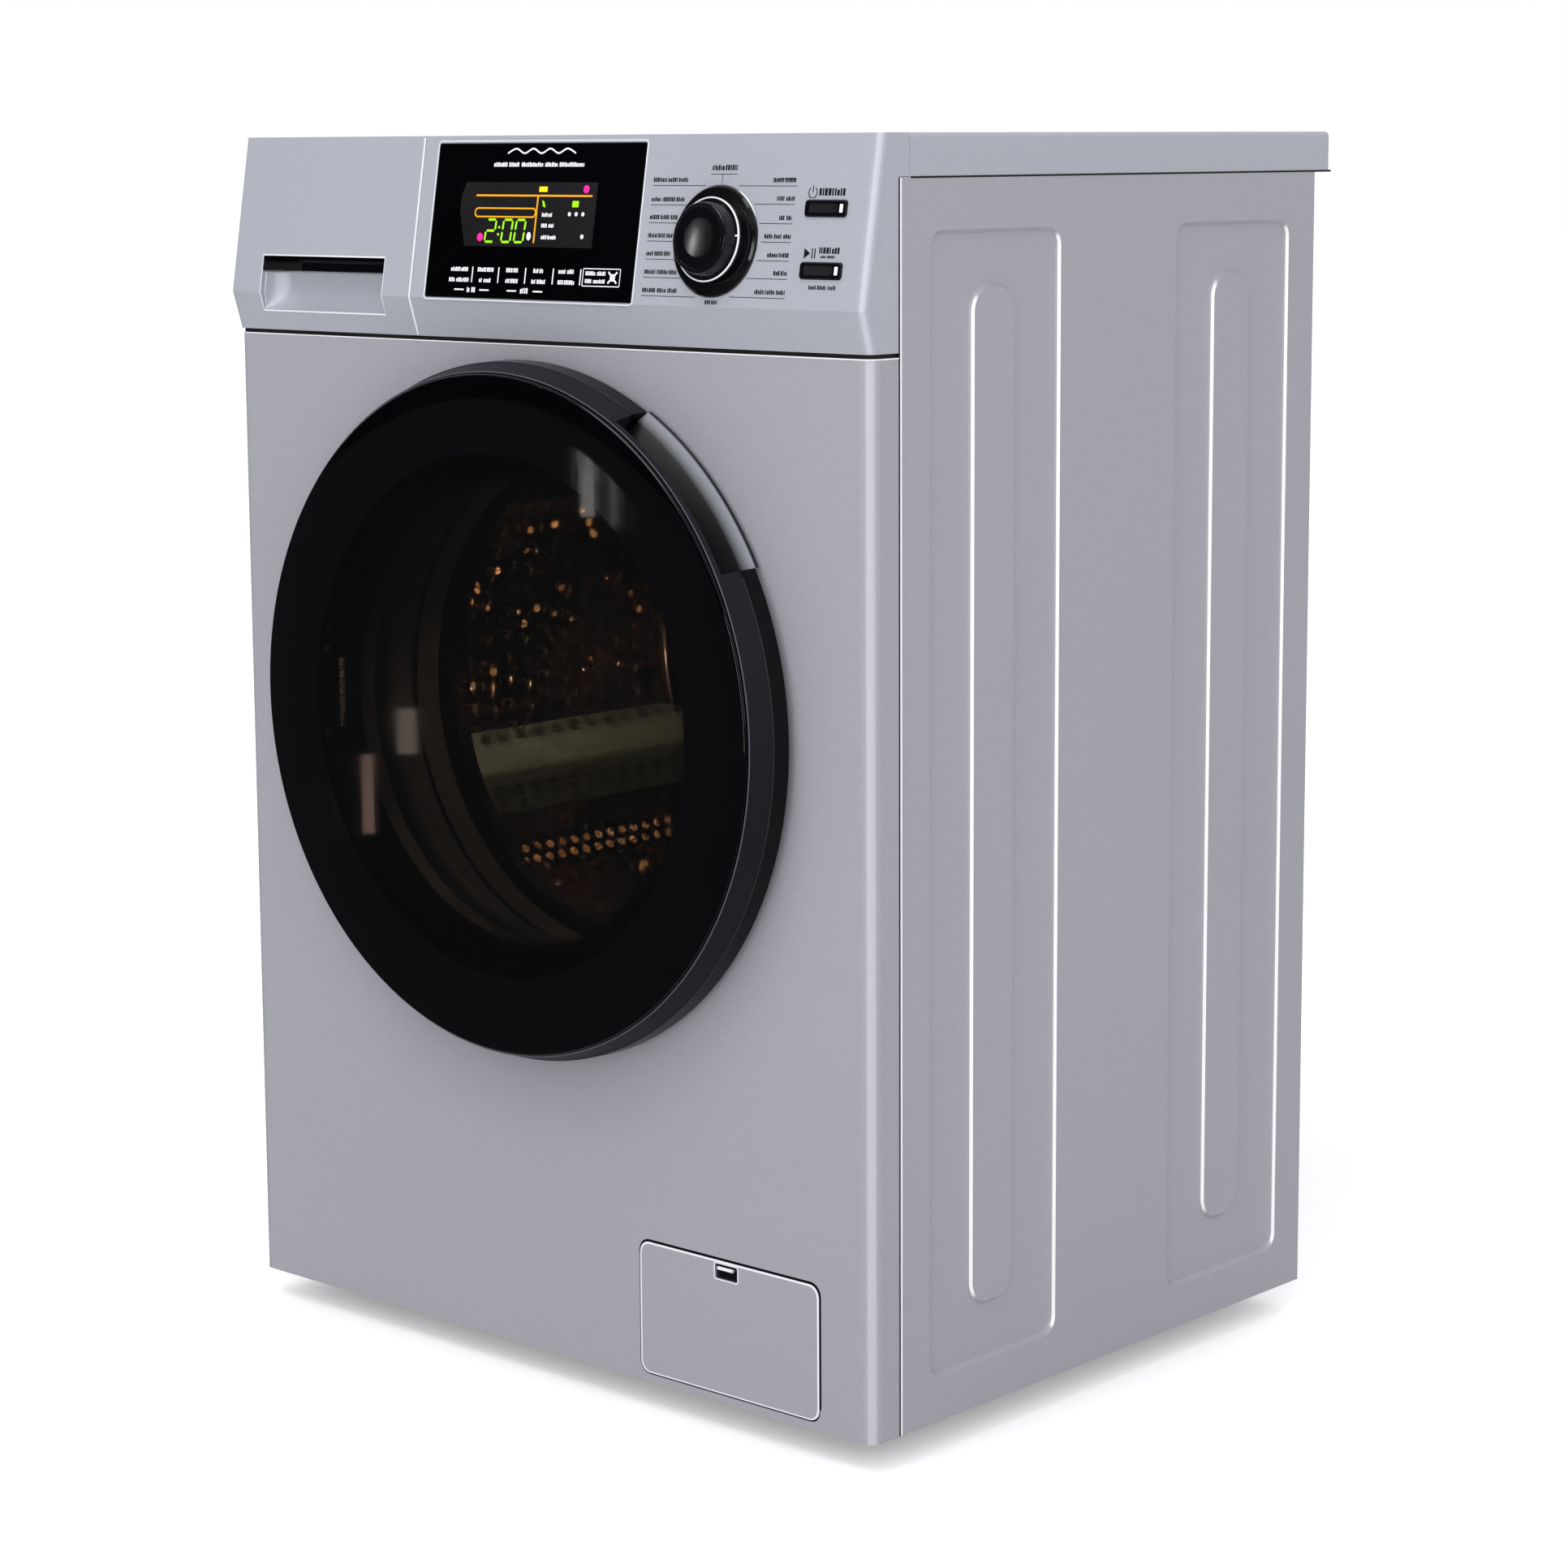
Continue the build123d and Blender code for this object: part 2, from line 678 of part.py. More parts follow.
# ---------------------------------------------------------------- adjustable feet
with BuildPart() as foot:
    with BuildSketch(Plane.XY):
        Circle(19)
    extrude(amount=8)
    chamfer(faces().sort_by(Axis.Z)[-1].edges(), 2)
    with BuildSketch(Plane.XY.offset(8)):
        RegularPolygon(9, 6)
    extrude(amount=4)
    with BuildSketch(Plane.XY.offset(12)):
        Circle(stem_r)
    extrude(amount=44)
corners = ("front_left", "front_right", "rear_left", "rear_right")
for corner, spot in zip(corners, foot_spots):
    with BuildPart() as placed_foot:
        with Locations((spot[0], spot[1], 0)):
            add(foot.part)
    keep(f"foot_{corner}", placed_foot.part)

# ---------------------------------------------------------------- tub
tub_front_face = 66.0
tub_split = 225.0
tub_back = 390.0
collar_r = 175.0
sump_half = 66.0
sump_low = 196.0
sump_front = 100.0
hub_r = 50.0
bearing_r = 26.0
hub_end = 428.0


def sump_block(front, back, shrink):
    """Box for the water sump under the tub, or for its hollow when shrunk."""
    with BuildPart() as block:
        with BuildSketch(Plane.XY.offset(sump_low + shrink)):
            with Locations((0, behind((front + back) / 2))):
                Rectangle(2 * (sump_half - shrink), back - front)
        extrude(amount=60 - shrink)
    return block.part


tub_lug_z = 618.0
with BuildPart() as tub_front:
    rim = [(tub_front_face, 0), (tub_front_face, tub_r - 5), (tub_front_face + 5, tub_r)]
    flange_rim = [(tub_split - 6, tub_r), (tub_split - 6, tub_r + 8), (tub_split, tub_r + 8)]
    add(spun(rim + flange_rim + [(tub_split, 0)]))
    add(sump_block(sump_front, tub_split, 0))
    add(sump_block(sump_front + tub_wall, tub_split, tub_wall), mode=Mode.SUBTRACT)
    hollow_front = tub_front_face + tub_wall
    hollow_r = tub_r - tub_wall
    hollow = [(hollow_front, 0), (hollow_front, hollow_r), (tub_split, hollow_r), (tub_split, 0)]
    add(spun(hollow), mode=Mode.SUBTRACT)
    with BuildSketch(wall(hollow_front)):
        with Locations((0, drum_z)):
            Circle(collar_r)
    extrude(amount=hollow_front - 50)
    with BuildSketch(wall(hollow_front)):
        with Locations((0, drum_z)):
            Circle(collar_r - 3)
    extrude(amount=hollow_front, mode=Mode.SUBTRACT)
keep("tub_front", tub_front.part)

with BuildPart() as tub_rear:
    flange_rim = [(tub_split, 0), (tub_split, tub_r + 8), (tub_split + 6, tub_r + 8)]
    shell_back = [(tub_split + 6, tub_r), (tub_back - 5, tub_r), (tub_back, tub_r - 5), (tub_back, 0)]
    add(spun(flange_rim + shell_back))
    add(sump_block(tub_split, tub_back, 0))
    with BuildSketch(wall(tub_back + 10)):
        with Locations((0, drum_z)):
            with PolarLocations(140, 8):
                Rectangle(200, 5)
    extrude(amount=12)
    with BuildSketch(wall(hub_end)):
        with Locations((0, drum_z)):
            Circle(hub_r)
    extrude(amount=hub_end - tub_back + 1)
    for side in (-1, 1):
        with BuildSketch(wall(spring_y + 11)):
            with Locations((side * 239, tub_lug_z)):
                Rectangle(82, 12)
        extrude(amount=10)
    add(sump_block(tub_split, tub_back - tub_wall, tub_wall), mode=Mode.SUBTRACT)
    hollow_back = tub_back - tub_wall
    hollow = [(tub_split, 0), (tub_split, hollow_r), (hollow_back, hollow_r), (hollow_back, 0)]
    add(spun(hollow), mode=Mode.SUBTRACT)
    with BuildSketch(wall(hub_end + 1)):
        with Locations((0, drum_z)):
            Circle(bearing_r)
    extrude(amount=60, mode=Mode.SUBTRACT)
keep("tub_rear", tub_rear.part)

shaft_r = 12.45
with BuildPart() as bearings_and_seal:
    for front, back in ((387, 391), (393, 408), (411, 426)):
        with BuildSketch(wall(back)):
            with Locations((0, drum_z)):
                Circle(bearing_r - 0.02)
                Circle(shaft_r + run, mode=Mode.SUBTRACT)
        extrude(amount=back - front)
keep("bearings_and_seal", bearings_and_seal.part)

weight_front = 34.0
with BuildPart() as counterweights:
    ring = [(weight_front, 192), (weight_front, 240), (65.8, 243), (65.8, 192)]
    add(spun(ring, start_at=-72, turn=144))
    add(spun(ring, start_at=108, turn=144))
    with BuildSketch(wall(212)):
        with Locations((0, 735)):
            Rectangle(164, 80)
        with Locations((0, drum_z)):
            Circle(tub_r + 0.3, mode=Mode.SUBTRACT)
    extrude(amount=104)
keep("counterweights", counterweights.part)

motor_at = (-60.0, 125.0)
motor_r = 60.0
motor_back = 340.0
motor_shaft_r = 6.0
with BuildPart() as drive_motor:
    with BuildSketch(wall(motor_back)):
        with Locations(motor_at):
            Circle(motor_r)
    extrude(amount=150)
    fillet(edges().filter_by(GeomType.CIRCLE), 6)
    for back in (232, 318):
        with BuildSketch(wall(back)):
            with Locations((motor_at[0], (sump_low + motor_at[1]) / 2 + 20)):
                Rectangle(50, sump_low - motor_at[1] - 40.2)
        extrude(amount=14)
    with BuildSketch(wall(motor_back + 1)):
        with Locations(motor_at):
            Circle(motor_shaft_r + run)
    extrude(amount=30, mode=Mode.SUBTRACT)
keep("drive_motor", drive_motor.part)

heater_z = 209.0
with BuildPart() as wash_heater:
    with BuildLine() as heater_path:
        left_end = (-32, behind(385.5), heater_z)
        right_end = (32, behind(385.5), heater_z)
        left_turn = (-32, behind(150), heater_z)
        right_turn = (32, behind(150), heater_z)
        Line(left_end, left_turn)
        ThreePointArc(left_turn, (0, behind(118), heater_z), right_turn)
        Line(right_turn, right_end)
    with BuildSketch(wall(385.5)):
        with Locations((-32, heater_z)):
            Circle(4)
    sweep(path=heater_path.wires()[0])
    with BuildSketch(wall(394)):
        with Locations((0, heater_z)):
            RectangleRounded(92, 20, 5)
    extrude(amount=3.8)
keep("wash_heater", wash_heater.part)

duct_left = 100.0
duct_right = 226.0
duct_low = 700.0
duct_high = 770.0
duct_front = 98.0
duct_back = 300.0
fan_at = (152.0, 352.0)
fan_low = 716.0
scroll_r = 58.0
with BuildPart() as drying_duct:
    duct_mid = ((duct_left + duct_right) / 2, (duct_low + duct_high) / 2)
    with BuildSketch(wall(duct_back)):
        with Locations(duct_mid):
            Rectangle(duct_right - duct_left, duct_high - duct_low)
        with Locations((0, drum_z)):
            Circle(tub_r + 8.5, mode=Mode.SUBTRACT)
    extrude(amount=duct_back - duct_front)
    with BuildSketch(Plane.XY.offset(fan_low)):
        with Locations((fan_at[0], behind(fan_at[1]))):
            Circle(scroll_r)
    extrude(amount=duct_high - fan_low)
    with BuildSketch(wall(duct_back)):
        with Locations(duct_mid):
            Rectangle(duct_right - duct_left - 6, duct_high - duct_low - 6)
        with Locations((0, drum_z)):
            Circle(tub_r + 11.5, mode=Mode.SUBTRACT)
    extrude(amount=duct_back - duct_front - 3, mode=Mode.SUBTRACT)
    with BuildSketch(Plane.XY.offset(fan_low + 3)):
        with Locations((fan_at[0], behind(fan_at[1]))):
            Circle(scroll_r - 3)
    extrude(amount=duct_high - fan_low - 6, mode=Mode.SUBTRACT)
    with BuildSketch(Plane.XY.offset(duct_high)):
        with Locations((fan_at[0], behind(fan_at[1]))):
            Circle(27)
    extrude(amount=26)
    with BuildSketch(Plane.XY.offset(duct_high - 4)):
        with Locations((fan_at[0], behind(fan_at[1]))):
            Circle(4 + run)
    extrude(amount=24, mode=Mode.SUBTRACT)
keep("drying_duct", drying_duct.part)

with BuildPart() as drying_fan:
    with BuildSketch(Plane.XY.offset(fan_low + 6)):
        Circle(50)
    extrude(amount=2)
    with BuildSketch(Plane.XY.offset(fan_low + 8)):
        with PolarLocations(38, 14):
            Rectangle(20, 1.6, rotation=35)
    extrude(amount=32)
    with BuildSketch(Plane.XY.offset(fan_low + 8)):
        Circle(10)
    extrude(amount=30)
    with BuildSketch(Plane.XY.offset(fan_low + 38)):
        Circle(4)
    extrude(amount=34)
keep("drying_fan", drying_fan.part.moved(Location((fan_at[0], behind(fan_at[1]), 0))))

damper_x = 168.0
damper_back = 262.0
damper_spots = [(x, behind(damper_back)) for x in (-damper_x, damper_x)]
with BuildPart() as damper_cylinders:
    with BuildSketch(Plane.XY.offset(pan_low + pan_wall)):
        with Locations(*damper_spots):
            Circle(15)
    extrude(amount=136)
    with BuildSketch(Plane.XY.offset(pan_low + pan_wall + 10)):
        with Locations(*damper_spots):
            Circle(11)
    extrude(amount=136, mode=Mode.SUBTRACT)
keep("damper_cylinders", damper_cylinders.part)

with BuildPart() as damper_rods:
    with BuildSketch(Plane.XY.offset(100)):
        with Locations(*damper_spots):
            Circle(9.5)
    extrude(amount=172)
keep("damper_rods", damper_rods.part)

spring_low = tub_lug_z + 6.4
spring_high = 805.8
with BuildPart() as suspension_springs:
    for side in (-1, 1):
        with BuildSketch(Plane.XY.offset(spring_low)):
            with Locations((side * (rail_x - 2), behind(spring_y))):
                Circle(12)
                Circle(8, mode=Mode.SUBTRACT)
        extrude(amount=spring_high - spring_low)
keep("suspension_springs", suspension_springs.part)

with BuildPart() as sump_hose:
    with BuildSketch(Plane.XY.offset(filter_at[1] + 40)):
        with Locations((filter_at[0], behind(pump_inlet_back))):
            Circle(24)
            Circle(19.2, mode=Mode.SUBTRACT)
    extrude(amount=147)
keep("sump_hose", sump_hose.part)

# ---------------------------------------------------------------- drum
drum_front = 80.0
drum_back = 372.0
drum_skin = 1.5
inner_r = drum_r - drum_skin
with BuildPart() as drum_shell:
    outside = [(drum_back, 0), (drum_back, drum_r), (drum_front, drum_r), (drum_front, mouth_r)]
    lip = [(drum_front + 10, mouth_r), (drum_front + 10, mouth_r + drum_skin)]
    front_inner = drum_front + drum_skin
    inside = [(front_inner, mouth_r + drum_skin), (front_inner, inner_r)]
    floor_inner = drum_back - drum_skin
    add(spun(outside + lip + inside + [(floor_inner, inner_r), (floor_inner, 0)]))
keep("drum_shell", drum_shell.part)

lifter_turns = (8, 128, 248)   # degrees clockwise from the top
with BuildPart() as lifter:
    with BuildSketch(wall(356)):
        with BuildLine():
            base = [(-34, drum_z + 238), (-30, drum_z + 226), (-10, drum_z + 184)]
            tip = [(10, drum_z + 184), (30, drum_z + 226), (34, drum_z + 238)]
            Polyline(base + tip, close=True)
        make_face()
        with Locations((0, drum_z)):
            Circle(inner_r - 0.1, mode=Mode.INTERSECT)
    extrude(amount=256)
    fillet(edges().filter_by(Axis.Y).group_by(Axis.Z)[0], 8)
with BuildPart() as drum_lifters:
    for turn in lifter_turns:
        add(lifter.part.rotate(drum_axis, turn))
keep("drum_lifters", drum_lifters.part)

with BuildPart() as drum_spider:
    with BuildSketch(wall(drum_back + 11)):
        with Locations((0, drum_z)):
            Circle(40)
            with PolarLocations(112, 3, start_angle=30):
                Rectangle(190, 42)
            Circle(shaft_r, mode=Mode.SUBTRACT)
    extrude(amount=10.8)
keep("drum_spider", drum_spider.part)

shaft_end = 452.0
with BuildPart() as drum_shaft:
    with BuildSketch(wall(shaft_end)):
        with Locations((0, drum_z)):
            Circle(shaft_r)
    extrude(amount=shaft_end - drum_back - 1)
keep("drum_shaft", drum_shaft.part)

pulley_r = 145.0
pulley_front = 430.0
pulley_back = 444.0
with BuildPart() as drum_pulley:
    with BuildSketch(wall(pulley_back)):
        with Locations((0, drum_z)):
            Circle(pulley_r)
            Circle(pulley_r - 8, mode=Mode.SUBTRACT)
    extrude(amount=pulley_back - pulley_front)
    with BuildSketch(wall(pulley_back - 3)):
        with Locations((0, drum_z)):
            Circle(28)
            with PolarLocations(83, 6):
                Rectangle(120, 16)
    extrude(amount=8)
    with BuildSketch(wall(pulley_back + 2)):
        with Locations((0, drum_z)):
            Circle(shaft_r)
    extrude(amount=20, mode=Mode.SUBTRACT)
keep("drum_pulley", drum_pulley.part)

motor_pulley_r = 11.5
with BuildPart() as motor_pulley:
    with BuildSketch(wall(pulley_back + 2)):
        with Locations(motor_at):
            Circle(motor_pulley_r)
    extrude(amount=18)
    with BuildSketch(wall(pulley_back)):
        with Locations(motor_at):
            Circle(motor_shaft_r)
    extrude(amount=pulley_back - motor_back + 24)
keep("motor_pulley", motor_pulley.part)

belt_thick = 3.0
with BuildPart() as drive_belt:
    for grow, how in ((gap + belt_thick, Mode.ADD), (gap, Mode.SUBTRACT)):
        with BuildSketch(wall(pulley_back - 1)):
            with Locations((0, drum_z)):
                Circle(pulley_r + grow)
            with Locations(motor_at):
                Circle(motor_pulley_r + grow)
            make_hull()
        extrude(amount=12, mode=how)
keep("drive_belt", drive_belt.part)

# ---------------------------------------------------------------- door seal, lock and hinge
with BuildPart() as door_gasket:
    bead = [(-0.2, 190), (-0.2, 183.7), (1.4, 183.7), (1.4, 190), (4.5, 190)]
    outer_fold = [(6.5, 181), (14, 166), (22, 166), (34, 180), (60, 180), (60, 175.3)]
    inner_fold = [(47, 175.3), (38, 173), (25, 161), (12, 161), (1, 178.5)]
    add(spun(bead + outer_fold + inner_fold + [(-2.4, 181), (-2.4, 190)]))
keep("door_gasket", door_gasket.part)

with BuildPart() as door_lock:
    with BuildSketch(wall(30)):
        with Locations((lock_x, drum_z)):
            RectangleRounded(38, 78, 4)
    extrude(amount=30 - sheet - 0.2)
    with BuildSketch(wall(27)):
        with Locations((lock_x, drum_z)):
            Rectangle(30, 36)
    extrude(amount=40, mode=Mode.SUBTRACT)
keep("door_lock", door_lock.part)

pin_r = 4.0
pin_half = 38.0
lug_mid = 29.5
lug_half = 4.5
barrel_half = lug_mid - lug_half - 0.5
with BuildPart() as door_hinge_bracket:
    with BuildSketch(wall(0)):
        with Locations((-210, drum_z)):
            RectangleRounded(36, 80, 4)
    extrude(amount=2.6)
    for side in (-1, 1):
        with BuildSketch(Plane.XY.offset(drum_z + side * lug_mid - lug_half)):
            with Locations((hinge_x, behind(-hinge_out))):
                Circle(6)
            with Locations((hinge_x, behind(-hinge_out / 2))):
                Rectangle(10, hinge_out)
            with Locations((hinge_x, behind(-hinge_out))):
                Circle(pin_r + run, mode=Mode.SUBTRACT)
        extrude(amount=2 * lug_half)
keep("door_hinge_bracket", door_hinge_bracket.part)

arm_front = -25.0
arm_thick = 4.0
ring_front = -16.0
with BuildPart() as door_hinge_arm:
    with BuildSketch(Plane.XY.offset(drum_z - barrel_half)):
        with Locations((hinge_x, behind(-hinge_out))):
            Circle(6)
        with Locations((-196, behind(arm_front + arm_thick / 2))):
            Rectangle(52, arm_thick)
        with Locations((-182, behind((arm_front + ring_front) / 2))):
            Rectangle(24, ring_front - arm_front - 0.1)
    extrude(amount=2 * barrel_half)
    with BuildSketch(Plane.XY.offset(drum_z - pin_half)):
        with Locations((hinge_x, behind(-hinge_out))):
            Circle(pin_r)
    extrude(amount=2 * pin_half)
keep("door_hinge_arm", door_hinge_arm.part)

# ---------------------------------------------------------------- door
grip_start = 29.0          # degrees clockwise from the top, seen from the front
grip_turn = 32.7
cap_turn = 0.9
glass_back = -36.2
glass_r = 228.3
hinge_notch = 84.0


def hinge_pocket():
    """Space left in the door's rings for the hinge at its left edge."""
    with BuildPart() as block:
        with BuildSketch(wall(2)):
            with Locations((-225, drum_z)):
                Rectangle(50, hinge_notch)
        extrude(amount=29)
        with BuildSketch(wall(2)):
            with Locations((-225, drum_z + lug_mid), (-225, drum_z - lug_mid)):
                Rectangle(50, 2 * lug_half + 2)
        extrude(amount=35)
    return block.part


with BuildPart() as door_outer_ring:
    band = [(-7, door_r), (-20, door_r - 1), (-36, 229.6), (-36, 205), (-33, 205)]
    add(spun(band + [(-33, 226.4), (-20, 231.8), (-7, 232.8)]))
    wedge = [(-32.9, 206), (-32.9, 245), (0, 245), (0, 206)]
    add(spun(wedge, grip_start, grip_turn), mode=Mode.SUBTRACT)
    cap = [(-33, 206), (-33, 227), (-20, 232), (-6, 233), (-6, 228), (-14, 218), (-24, 208)]
    add(spun(cap, grip_start - cap_turn, cap_turn))
    add(spun(cap, grip_start + grip_turn, cap_turn))
    add(hinge_pocket(), mode=Mode.SUBTRACT)
keep("door_outer_ring", door_outer_ring.part)

plate = 3.0
ring_back = -3.2
ring_r = 231.5
collar_in = 157.5
with BuildPart() as door_inner_ring:
    outer_side = [(ring_front, ring_r), (ring_back, ring_r), (ring_back, collar_in)]
    inner_side = [(ring_front, collar_in), (ring_front, collar_in + plate)]
    channel = [(ring_back - plate, collar_in + plate), (ring_back - plate, ring_r - plate)]
    add(spun(outer_side + inner_side + channel + [(ring_front, ring_r - plate)]))
    wedge = [(-17, 203), (-17, 245), (0, 245), (0, 203)]
    add(spun(wedge, grip_start - 1.6, grip_turn + 3.2), mode=Mode.SUBTRACT)
    add(hinge_pocket(), mode=Mode.SUBTRACT)
    with BuildSketch(wall(ring_back - plate + 0.5)):
        with Locations((-182, drum_z)):
            Rectangle(28, 2 * barrel_half)
        with Locations((lock_x - 2, drum_z + 17.5), (lock_x - 2, drum_z - 17.5)):
            Rectangle(16, 5)
    extrude(amount=ring_back - plate + 0.5 - ring_front)
    with BuildSketch(wall(2)):
        with Locations((lock_x, drum_z)):
            Rectangle(24, 28)
    extrude(amount=16, mode=Mode.SUBTRACT)
    with BuildSketch(Plane.XY.offset(drum_z - 24)):
        with Locations((lock_x - 2, behind(-12))):
            Circle(2 + run)
    extrude(amount=48, mode=Mode.SUBTRACT)
keep("door_inner_ring", door_inner_ring.part)

with BuildPart() as door_glass_panel:
    with BuildSketch(wall(glass_back)):
        with Locations((0, drum_z)):
            Circle(glass_r)
    extrude(amount=glass_back + door_proud)
    fillet(faces().sort_by(Axis.Y)[0].edges(), 2.2)
keep("door_glass_panel", door_glass_panel.part)

bowl_wall = 4.0
with BuildPart() as door_glass_bowl:
    flange_face = [(-20, 170), (-16.2, 170), (-16.2, 154), (4, 152), (62, 141), (86, 126)]
    tip_outer = [(95, 106), (98, 84), (98, 0)]
    tip_inner = [(98 - bowl_wall, 0), (98 - bowl_wall, 82), (91.5, 102.5), (83, 121.5), (60, 137), (3, 148)]
    add(spun(flange_face + tip_outer + tip_inner + [(-20, 150)]))
keep("door_glass_bowl", door_glass_bowl.part)

with BuildPart() as door_handle:
    with BuildSketch(Plane.YZ):
        with BuildLine():
            outer = [(-3.6, 236.4), (-9, 233.4), (-15.5, 226), (-22, 216.5), (-31.8, 209)]
            inner = [(-31.8, 206.4), (-21, 213.4), (-13.8, 223.6), (-8.2, 230), (-3.6, 233.2)]
            outer = [(behind(y), drum_z + r) for y, r in outer]
            inner = [(behind(y), drum_z + r) for y, r in inner]
            Spline(*outer)
            Line(outer[-1], inner[0])
            Spline(*inner)
            Line(inner[-1], outer[0])
        make_face()
    revolve(axis=drum_axis, revolution_arc=grip_turn - 0.2)
keep("door_handle", door_handle.part.rotate(drum_axis, grip_start + 0.1))

hook_x = lock_x - 2
hook_pin_r = 2.0
with BuildPart() as latch_hook:
    with BuildSketch(Plane.XY.offset(drum_z - 8)):
        with BuildLine():
            root = [(hook_x - 4, behind(-12)), (hook_x + 4, behind(-12))]
            nose = [(hook_x + 4, behind(12)), (hook_x + 10, behind(14)), (hook_x + 4, behind(22))]
            Polyline(root + nose + [(hook_x - 4, behind(22))], close=True)
        make_face()
        with Locations((hook_x, behind(-12))):
            Circle(4.4)
    extrude(amount=16)
    with BuildSketch(Plane.XY.offset(drum_z - 19)):
        with Locations((hook_x, behind(-12))):
            Circle(hook_pin_r)
    extrude(amount=38)
keep("latch_hook", latch_hook.part)

for label, piece in pieces.items():
    export_step(piece, f"parts/{label}.step")
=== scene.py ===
import json
import math
import random

import bmesh
import bpy
from mathutils import Matrix, Vector


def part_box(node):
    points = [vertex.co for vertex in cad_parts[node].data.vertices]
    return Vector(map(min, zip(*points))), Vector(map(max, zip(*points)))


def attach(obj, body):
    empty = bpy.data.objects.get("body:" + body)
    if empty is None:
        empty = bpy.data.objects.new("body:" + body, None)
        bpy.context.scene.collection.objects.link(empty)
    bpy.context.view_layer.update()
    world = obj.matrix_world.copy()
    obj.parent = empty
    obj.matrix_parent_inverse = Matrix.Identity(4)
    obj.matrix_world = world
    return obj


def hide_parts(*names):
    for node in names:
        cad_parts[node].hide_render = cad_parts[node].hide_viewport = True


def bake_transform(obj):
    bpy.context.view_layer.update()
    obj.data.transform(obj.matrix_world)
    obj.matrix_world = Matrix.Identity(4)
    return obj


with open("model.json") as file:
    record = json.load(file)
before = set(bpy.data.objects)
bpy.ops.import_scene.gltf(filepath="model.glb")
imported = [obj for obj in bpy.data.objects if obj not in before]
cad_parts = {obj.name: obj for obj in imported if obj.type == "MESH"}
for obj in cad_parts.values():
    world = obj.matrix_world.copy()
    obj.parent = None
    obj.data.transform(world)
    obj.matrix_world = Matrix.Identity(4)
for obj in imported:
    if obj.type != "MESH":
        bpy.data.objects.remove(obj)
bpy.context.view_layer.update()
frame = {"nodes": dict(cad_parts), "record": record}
nodes = frame["nodes"]
random.seed(7)

# -------------------------------- places, in metres
FRONT = -0.2395                 # front face of the cabinet
DRUM_Z = 0.467
FACET_LOW = Vector((0, FRONT - 0.008, 0.742))
FACET_HIGH = Vector((0, FRONT + 0.0103, 0.850))
UP_FACET = (FACET_HIGH - FACET_LOW).normalized()
OUT_FACET = Vector((0, -UP_FACET.z, UP_FACET.y))
FORWARD = Vector((0, -1, 0))
KNOB_CENTRE = (171, 783)        # x and z on the leaning face, in millimetres


def on_facet(x, z, lift=0.0):
    """A point on the leaning console face, x and z in millimetres, lift towards the viewer."""
    t = (z / 1000 - FACET_LOW.z) / (FACET_HIGH.z - FACET_LOW.z)
    p = FACET_LOW.lerp(FACET_HIGH, t) + OUT_FACET * lift / 1000
    return Vector((x / 1000, p.y, p.z))


def add_object(name, data):
    made = bpy.data.objects.new(name, data)
    bpy.context.scene.collection.objects.link(made)
    return made


# -------------------------------- camera
CAMERA = Vector((1.7940, -1.9757, 0.8428))


def make_camera():
    data = bpy.data.cameras.new("camera")
    data.sensor_width = 36
    data.lens = 85.86
    data.shift_y = -0.0445
    data.clip_start = 0.05
    data.clip_end = 50
    cam = add_object("camera", data)
    yaw, pitch, roll = math.radians(42.093), math.radians(8.656), math.radians(-0.315)
    ahead = Vector((-math.sin(yaw) * math.cos(pitch), math.cos(yaw) * math.cos(pitch), -math.sin(pitch)))
    level = Vector((math.cos(yaw), math.sin(yaw), 0))
    above = level.cross(ahead)
    right = level * math.cos(roll) + above * math.sin(roll)
    up = above * math.cos(roll) - level * math.sin(roll)
    turn = Matrix((right, up, -ahead)).transposed()
    cam.matrix_world = Matrix.Translation(CAMERA) @ turn.to_4x4()
    bpy.context.scene.camera = cam


make_camera()


# -------------------------------- node material helpers
MATERIALS = {}


